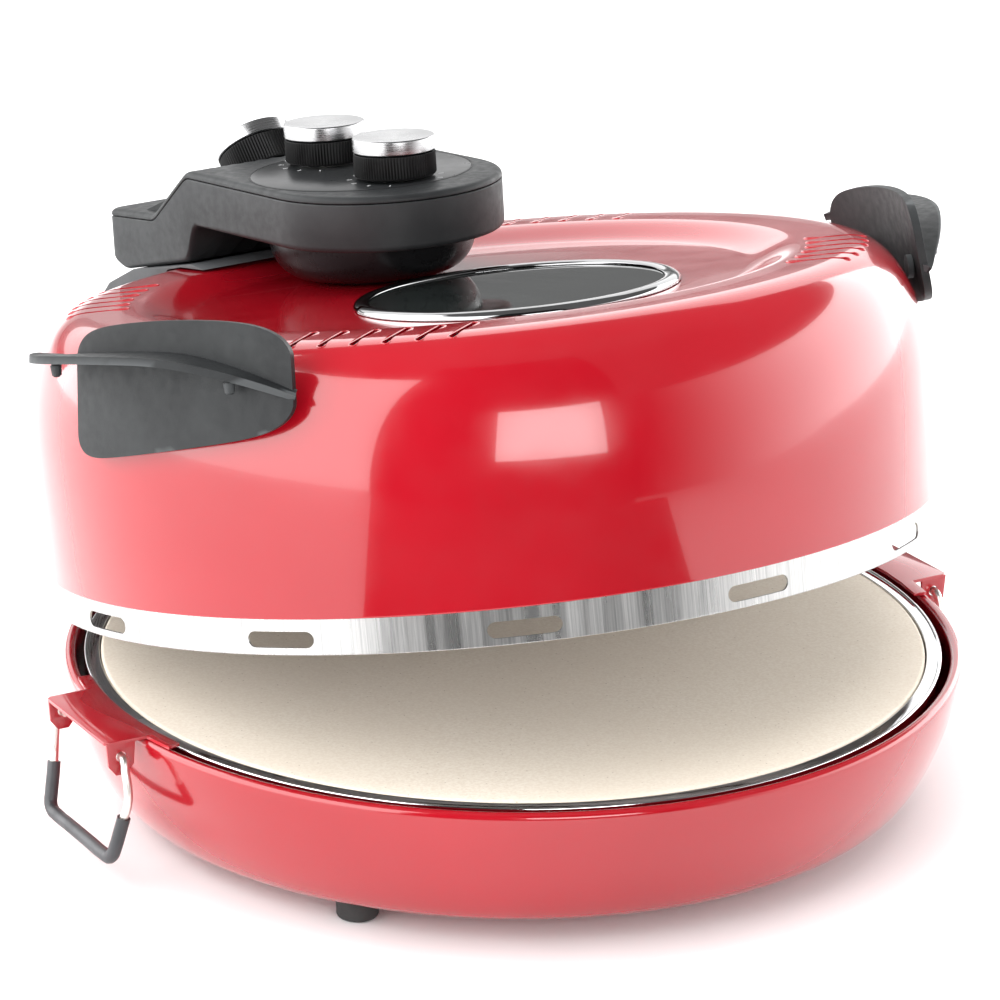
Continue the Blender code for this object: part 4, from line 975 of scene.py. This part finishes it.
def control_ring(inset, line, drop):
    """A plan outline moved inwards, at a height that follows a side line and drops by an amount."""
    half = HEAD_RADIUS - inset
    corner = max(7.0 - inset * 0.5, 0.6)
    rear = CONTROL_REAR - inset
    outline = arc((0.0, HEAD_CENTRE), half, 180.0, 360.0, 64)
    runs = 60
    side_length = rear - corner - HEAD_CENTRE
    outline += [(half, HEAD_CENTRE + side_length * step / runs) for step in range(1, runs)]
    inner = max(half - corner, 0.0)
    outline += arc((inner, rear - corner), corner, 0.0, 90.0, 8)
    outline += [(inner * (1.0 - 2.0 * step / 12.0), rear) for step in range(1, 12)]
    outline += arc((-inner, rear - corner), corner, 90.0, 180.0, 8)
    outline += [(-half, rear - corner - side_length * step / runs) for step in range(1, runs)]
    return [(x, y, line_height(line, y) + drop) for x, y in outline]


def make_cover(mats):
    """The top cover: a short upright edge, a rounded shoulder and a face that follows the slope."""
    insets = (4.0, 7.0, 11.0, 16.0, 21.0, 27.0, 33.0, 39.0, 45.6)
    rings = [control_ring(0.35, TOP_LINE, -COVER_DEPTH), control_ring(0.0, TOP_LINE, -COVER_DEPTH + 0.35)]
    rings += [control_ring(x, TOP_LINE, z) for x, z in arc((2.1, -2.1), 2.1, 180.0, 90.0, 6)]
    rings += [control_ring(inset, TOP_LINE, 0.0) for inset in insets]
    cover = add_piece("cover_moulding", loft_mesh("cover", rings), CONTROL, "lid", mats["plastic"],
                      ["control_cover"])
    drill(cover, "screw_well", CONTROL @ shift(0.0, SCREW_Y, 0.0), 2.1, -26.0, -10.0)
    for joint_name in KNOBS:
        drill(cover, f"{joint_name}_bore", knob_frame(joint_name), SHAFT_BORE, -8.0, SHAFT_BORE_TOP)
    split_edges(cover)


def make_housing(mats):
    """The deep lower shell, from the seam under the cover down to its rounded belly."""
    seam = ((6.0, 0.6), (0.9, 0.45), (0.3, 0.35), (0.0, 0.75))
    insets = (6.0, 12.0, 20.0, 30.0, 40.0, 45.6)
    rings = [control_ring(inset, TOP_LINE, -COVER_DEPTH - drop) for inset, drop in seam]
    rings += [control_ring(x, BELLY_LINE, z) for x, z in arc((2.4, 2.4), 2.4, 180.0, 270.0, 7)]
    rings += [control_ring(inset, BELLY_LINE, 0.0) for inset in insets]
    add_piece("housing_moulding", loft_mesh("housing", rings), CONTROL, "lid", mats["plastic"],
              ["control_housing"])


def make_pedestal(mats):
    r = PEDESTAL_RADIUS
    outline = [(0.0, 124.0), (r - 0.4, 124.0), (r, 121.0)]
    outline += squircle((r - 15.0, 118.0), (15.0, -16.4), 2.1, 0.0, 90.0, 20)
    outline += [(r - 15.6, LID_DISH + 0.5), (0.0, LID_DISH + 0.5)]
    mesh = lathe_mesh("pedestal", outline, closed=False, steps=120, stretch=PEDESTAL_STRETCH)
    add_piece("pedestal_moulding", mesh, LID @ shift(0.0, PEDESTAL_Y, 0.0), "lid", mats["under"],
              ["control_pedestal"])


def make_dial(mats):
    """A thin satin disc let into the cover, with generic scale marks round the two knobs."""
    r = DIAL_RADIUS
    outline = [(0.0, 0.22), (20.0, 0.22), (r - 0.5, 0.22), (r, 0.0), (r, -0.6), (0.0, -0.6)]
    disc = add_piece("dial_disc", lathe_mesh("dial", outline, closed=False, steps=128), CONTROL, "lid",
                     mats["dial"], ["dial_plate"])
    for joint_name in DIAL_JOINTS:
        drill(disc, f"{joint_name}_dial_bore", knob_frame(joint_name), SHAFT_BORE, -4.0, SHAFT_BORE_TOP)
    split_edges(disc)
    groove = [(r + 0.9, 0.03), (r + 0.9, 0.12), (r + 0.2, 0.12), (r + 0.2, 0.03)]
    add_piece("dial_groove", lathe_mesh("groove", groove, steps=128), CONTROL, "lid", mats["knurl"])
    bm = bmesh.new()
    size = Matrix.Diagonal((0.45 * MM, 2.0 * MM, 0.05 * MM, 1.0))
    for centre in MARK_CENTRES:
        for index in range(MARK_COUNT):
            angle = math.radians(MARK_PITCH_DEG * (index - (MARK_COUNT - 1) / 2.0))
            place = shift(MARK_RADIUS * math.sin(angle), centre + MARK_RADIUS * math.cos(angle), 0.27)
            bmesh.ops.create_cube(bm, size=1.0, matrix=place @ Matrix.Rotation(-angle, 4, "Z") @ size)
    add_piece("dial_marks", finished(bm, "dial_marks"), CONTROL, "lid", mats["ink"],
              smooth_deg=0.0)


def knob_frame(joint_name):
    """The knob's own frame: its joint's point on the cover, with Z out along its axis."""
    joint = next(item for item in frame["joints"] if item["name"] == joint_name)
    axis = -Vector(joint["axis"])
    turn = Vector((0, 0, 1)).rotation_difference(axis).to_matrix().to_4x4()
    return Matrix.Translation(joint["pos_m"]) @ turn


def ribbed_mesh(name, outline, ribs, depth, low, high):
    """A turned piece with fine ribs between two heights."""
    steps = ribs * 2
    mesh = lathe_mesh(name, outline, closed=False, steps=steps)
    for vertex in mesh.vertices:
        height = vertex.co.z / MM
        radius = math.hypot(vertex.co.x, vertex.co.y) / MM
        if low < height < high and radius > KNOB_RADIUS - 0.6:
            column = round(math.atan2(vertex.co.y, vertex.co.x) / (2.0 * math.pi) * steps)
            if column % 2:
                vertex.co.x *= 1.0 - depth / radius
                vertex.co.y *= 1.0 - depth / radius
    return mesh


def make_knob(label, joint_name, top, mats):
    """A ribbed skirt with a spun metal cap; the top is counted from the cover."""
    place = knob_frame(joint_name)
    body = joint_name.replace("_turn", "_knob")
    seat = top - 5.9
    r = KNOB_RADIUS
    skirt = [(0.0, seat - 0.1), (r - 0.9, seat - 0.1), (r - 0.3, seat - 0.25), (r - 0.05, seat - 0.6)]
    skirt += [(r, 2.6), (r - 0.05, 2.1)] + arc((r - 0.8, 1.9), 0.5, 0.0, -90.0, 4) + [(4.0, 1.4), (0.0, 1.4)]
    mesh = ribbed_mesh("skirt", skirt, KNOB_RIBS, 0.42, 2.0, seat - 0.4)
    add_piece(f"knob_{label}_ribs", mesh, place, body, mats["knurl"],
              [f"knob_{label}_skirt"], 20.0)
    cap = [(0.0, top - 0.2), (r - 2.0, top)] + arc((r - 0.7, top - 0.7), 0.7, 90.0, 0.0, 6)
    cap += [(r, seat + 0.7), (r - 0.35, seat + 0.3), (0.0, seat + 0.3)]
    add_piece(f"knob_{label}_metal", lathe_mesh("cap", cap, closed=False, steps=96), place, body, mats["cap"],
              [f"knob_{label}_cap"])


# ---------------------------------------------------------------- CAD nodes that stay

def dress_nodes(mats):
    """Better materials and rounded edges for the CAD nodes whose shape is already right."""
    looks = {
        "enamel": ["bail_bracket_left", "bail_bracket_right"],
        "tin": ["bottom_plate", "inner_tray"],
        "steel": ["hinge_bracket", "hinge_pin", "hinge_arm", "tray_spacer", "cover_screw",
                  *(f"knob_{label}_shaft" for label, _ in KNOBS.values())],
        "heater": ["lower_element", "upper_element"],
        "rubber": ["window_seal", "cord_gland"],
        "grey": ["hinge_cover"],
        "plastic": [f"handle_spacer_{side}_{end}" for side in ("left", "right") for end in ("front", "rear")],
        "ceramic": [*(f"element_{kind}_{number}" for kind in ("stand", "clip") for number in (1, 2, 3)),
                    "timer", "thermostat", "selector", "terminal_block"],
    }
    edge_width = {"bail_bracket_left": 0.35, "bail_bracket_right": 0.35, "hinge_cover": 1.2, "hinge_arm": 0.5,
                  "hinge_bracket": 0.3}
    for look, names in looks.items():
        for name in names:
            obj = frame["nodes"][name]
            obj.data.materials.clear()
            obj.data.materials.append(mats[look])
            weld = obj.modifiers.new("weld", "WELD")
            weld.merge_threshold = 0.00002
            if name in edge_width:
                soften(obj, edge_width[name], 3, 30.0)
            obj.data.shade_smooth()
            split_edges(obj, 35.0)


# ---------------------------------------------------------------- studio

def glow_material(name, strength, fade):
    """An even glow, or one that fades over a share of the panel towards its first vertical edge."""
    mat = bpy.data.materials.new(name)
    mat.use_nodes = True
    tree = mat.node_tree
    tree.nodes.clear()
    glow = tree.nodes.new("ShaderNodeEmission")
    out = tree.nodes.new("ShaderNodeOutputMaterial")
    tree.links.new(glow.outputs[0], out.inputs["Surface"])
    glow.inputs["Strength"].default_value = strength
    if fade:
        share = tree.nodes.new("ShaderNodeAttribute")
        share.attribute_name = "share"
        ramp = tree.nodes.new("ShaderNodeMapRange")
        ramp.inputs[2].default_value = fade
        ramp.inputs[4].default_value = strength
        ramp.interpolation_type = "SMOOTHSTEP"
        tree.links.new(share.outputs["Fac"], ramp.inputs[0])
        tree.links.new(ramp.outputs[0], glow.inputs["Strength"])
    return mat


def curved_sheet(name, start_deg, end_deg, low, high, distance):
    """A curved sheet round the oven. Angles are azimuths about the oven from the front, -Y, towards +X."""
    bm = bmesh.new()
    steps = 24
    shares = bm.verts.layers.float.new("share")
    pairs = []
    for step in range(steps + 1):
        x, y = polar(start_deg + (end_deg - start_deg) * step / steps, distance)
        pair = [bm.verts.new((x, y + CENTRE_Y, z)) for z in (low, high)]
        for vert in pair:
            vert[shares] = step / steps
        pairs.append(pair)
    for first, second in zip(pairs, pairs[1:]):
        bm.faces.new((first[0], second[0], second[1], first[1]))
    return new_object(name, as_mesh(bm, name))


def flat_sector(name, start_deg, end_deg, inner, outer, height):
    """A sector of a flat ring on the floor, with the same azimuths."""
    obj = curved_sheet(name, start_deg, end_deg, 0.0, 1.0, 1.0)
    for vertex in obj.data.vertices:
        reach = inner + (outer - inner) * round(vertex.co.z)
        vertex.co = (vertex.co.x * reach, CENTRE_Y + (vertex.co.y - CENTRE_Y) * reach, height)
    return obj


def make_panel(name, start_deg, end_deg, low, high, distance, strength, fade):
    """A curved light panel, seen only in reflections."""
    obj = curved_sheet(name, start_deg, end_deg, low, high, distance)
    obj.data.materials.append(glow_material(name, strength, fade))
    obj.visible_camera = False


def make_floor():
    m = Nodes("pale_floor", (0.90, 0.90, 0.90), 0.65)
    m.mottled(3.0, 2.0, (0.88, 0.88, 0.88), (0.92, 0.92, 0.92))
    m.rough(m.noise(40.0, 2.0), 0.6, 0.7)
    bm = bmesh.new()
    bmesh.ops.create_grid(bm, x_segments=1, y_segments=1, size=9.0)
    floor = new_object("floor", finished(bm, "floor"))
    floor.data.materials.append(m.mat)
    floor.location.z = -0.0002


def make_world():
    world = bpy.data.worlds.new("studio")
    bpy.context.scene.world = world
    world.use_nodes = True
    tree = world.node_tree
    back = tree.nodes["Background"]
    back.inputs["Color"].default_value = (1.0, 1.0, 1.0, 1.0)
    dim = tree.nodes.new("ShaderNodeMapRange")
    dim.inputs[3].default_value = WORLD_ON_SURFACES
    dim.inputs[4].default_value = WORLD_IN_REFLECTIONS
    path = tree.nodes.new("ShaderNodeLightPath")
    tree.links.new(path.outputs["Is Glossy Ray"], dim.inputs[0])
    tree.links.new(dim.outputs[0], back.inputs["Strength"])


def make_soft_light(name, place, target, size, power):
    data = bpy.data.lights.new(name, "AREA")
    data.shape = "RECTANGLE"
    data.size, data.size_y = size
    data.energy = power
    light = new_object(name, data)
    light.location = place
    light.visible_glossy = False
    light.rotation_euler = (Vector(target) - Vector(place)).to_track_quat("-Z", "Y").to_euler()


def make_dark_card():
    """A black card and a black mat, seen only in reflections, which keep the front of the lid deep red."""
    m = Nodes("black_card", (0.004, 0.004, 0.004), 1.0)
    card = curved_sheet("dark_card", DARK_FROM_DEG, 2.0, 0.0, 5.0, DARK_DISTANCE)
    mat = flat_sector("dark_mat", DARK_FROM_DEG, 10.0, 0.36, DARK_DISTANCE, 0.001)
    for sheet in (card, mat):
        sheet.data.materials.append(m.mat)
        sheet.visible_camera = False
        sheet.visible_diffuse = False
        sheet.visible_shadow = False


def make_studio():
    bpy.context.scene.view_settings.view_transform = "Standard"
    make_floor()
    make_world()
    make_dark_card()
    for name, settings in PANELS.items():
        make_panel(name, *settings)
    make_soft_light("overhead", (0.3, 0.2, 2.2), (0.0, 0.0, 0.1), (2.4, 2.4), 38.0)


def make_camera():
    data = bpy.data.cameras.new("camera")
    data.lens = CAMERA_LENS
    data.sensor_width = 36.0
    data.shift_x, data.shift_y = CAMERA_SHIFT
    camera = new_object("camera", data)
    camera.location = Vector(CAMERA_PLACE) + Vector((0.0, CENTRE_Y, 0.0))
    camera.rotation_euler = CAMERA_TURN
    bpy.context.scene.camera = camera


# ---------------------------------------------------------------- the whole

def build():
    mats = make_materials()
    make_bowl(mats)
    make_feet(mats)
    make_trim(mats)
    make_stone(mats)
    for side in ("left", "right"):
        make_bail(side, mats)
    make_shell(mats)
    make_louvre_lips(mats)
    make_band(mats)
    make_liner(mats)
    make_window(mats)
    make_handle("left", -1, mats)
    make_handle("right", 1, mats)
    make_cover(mats)
    make_housing(mats)
    make_pedestal(mats)
    make_dial(mats)
    for joint_name, (label, top) in KNOBS.items():
        make_knob(label, joint_name, top, mats)
    dress_nodes(mats)
    make_studio()
    make_camera()


build()
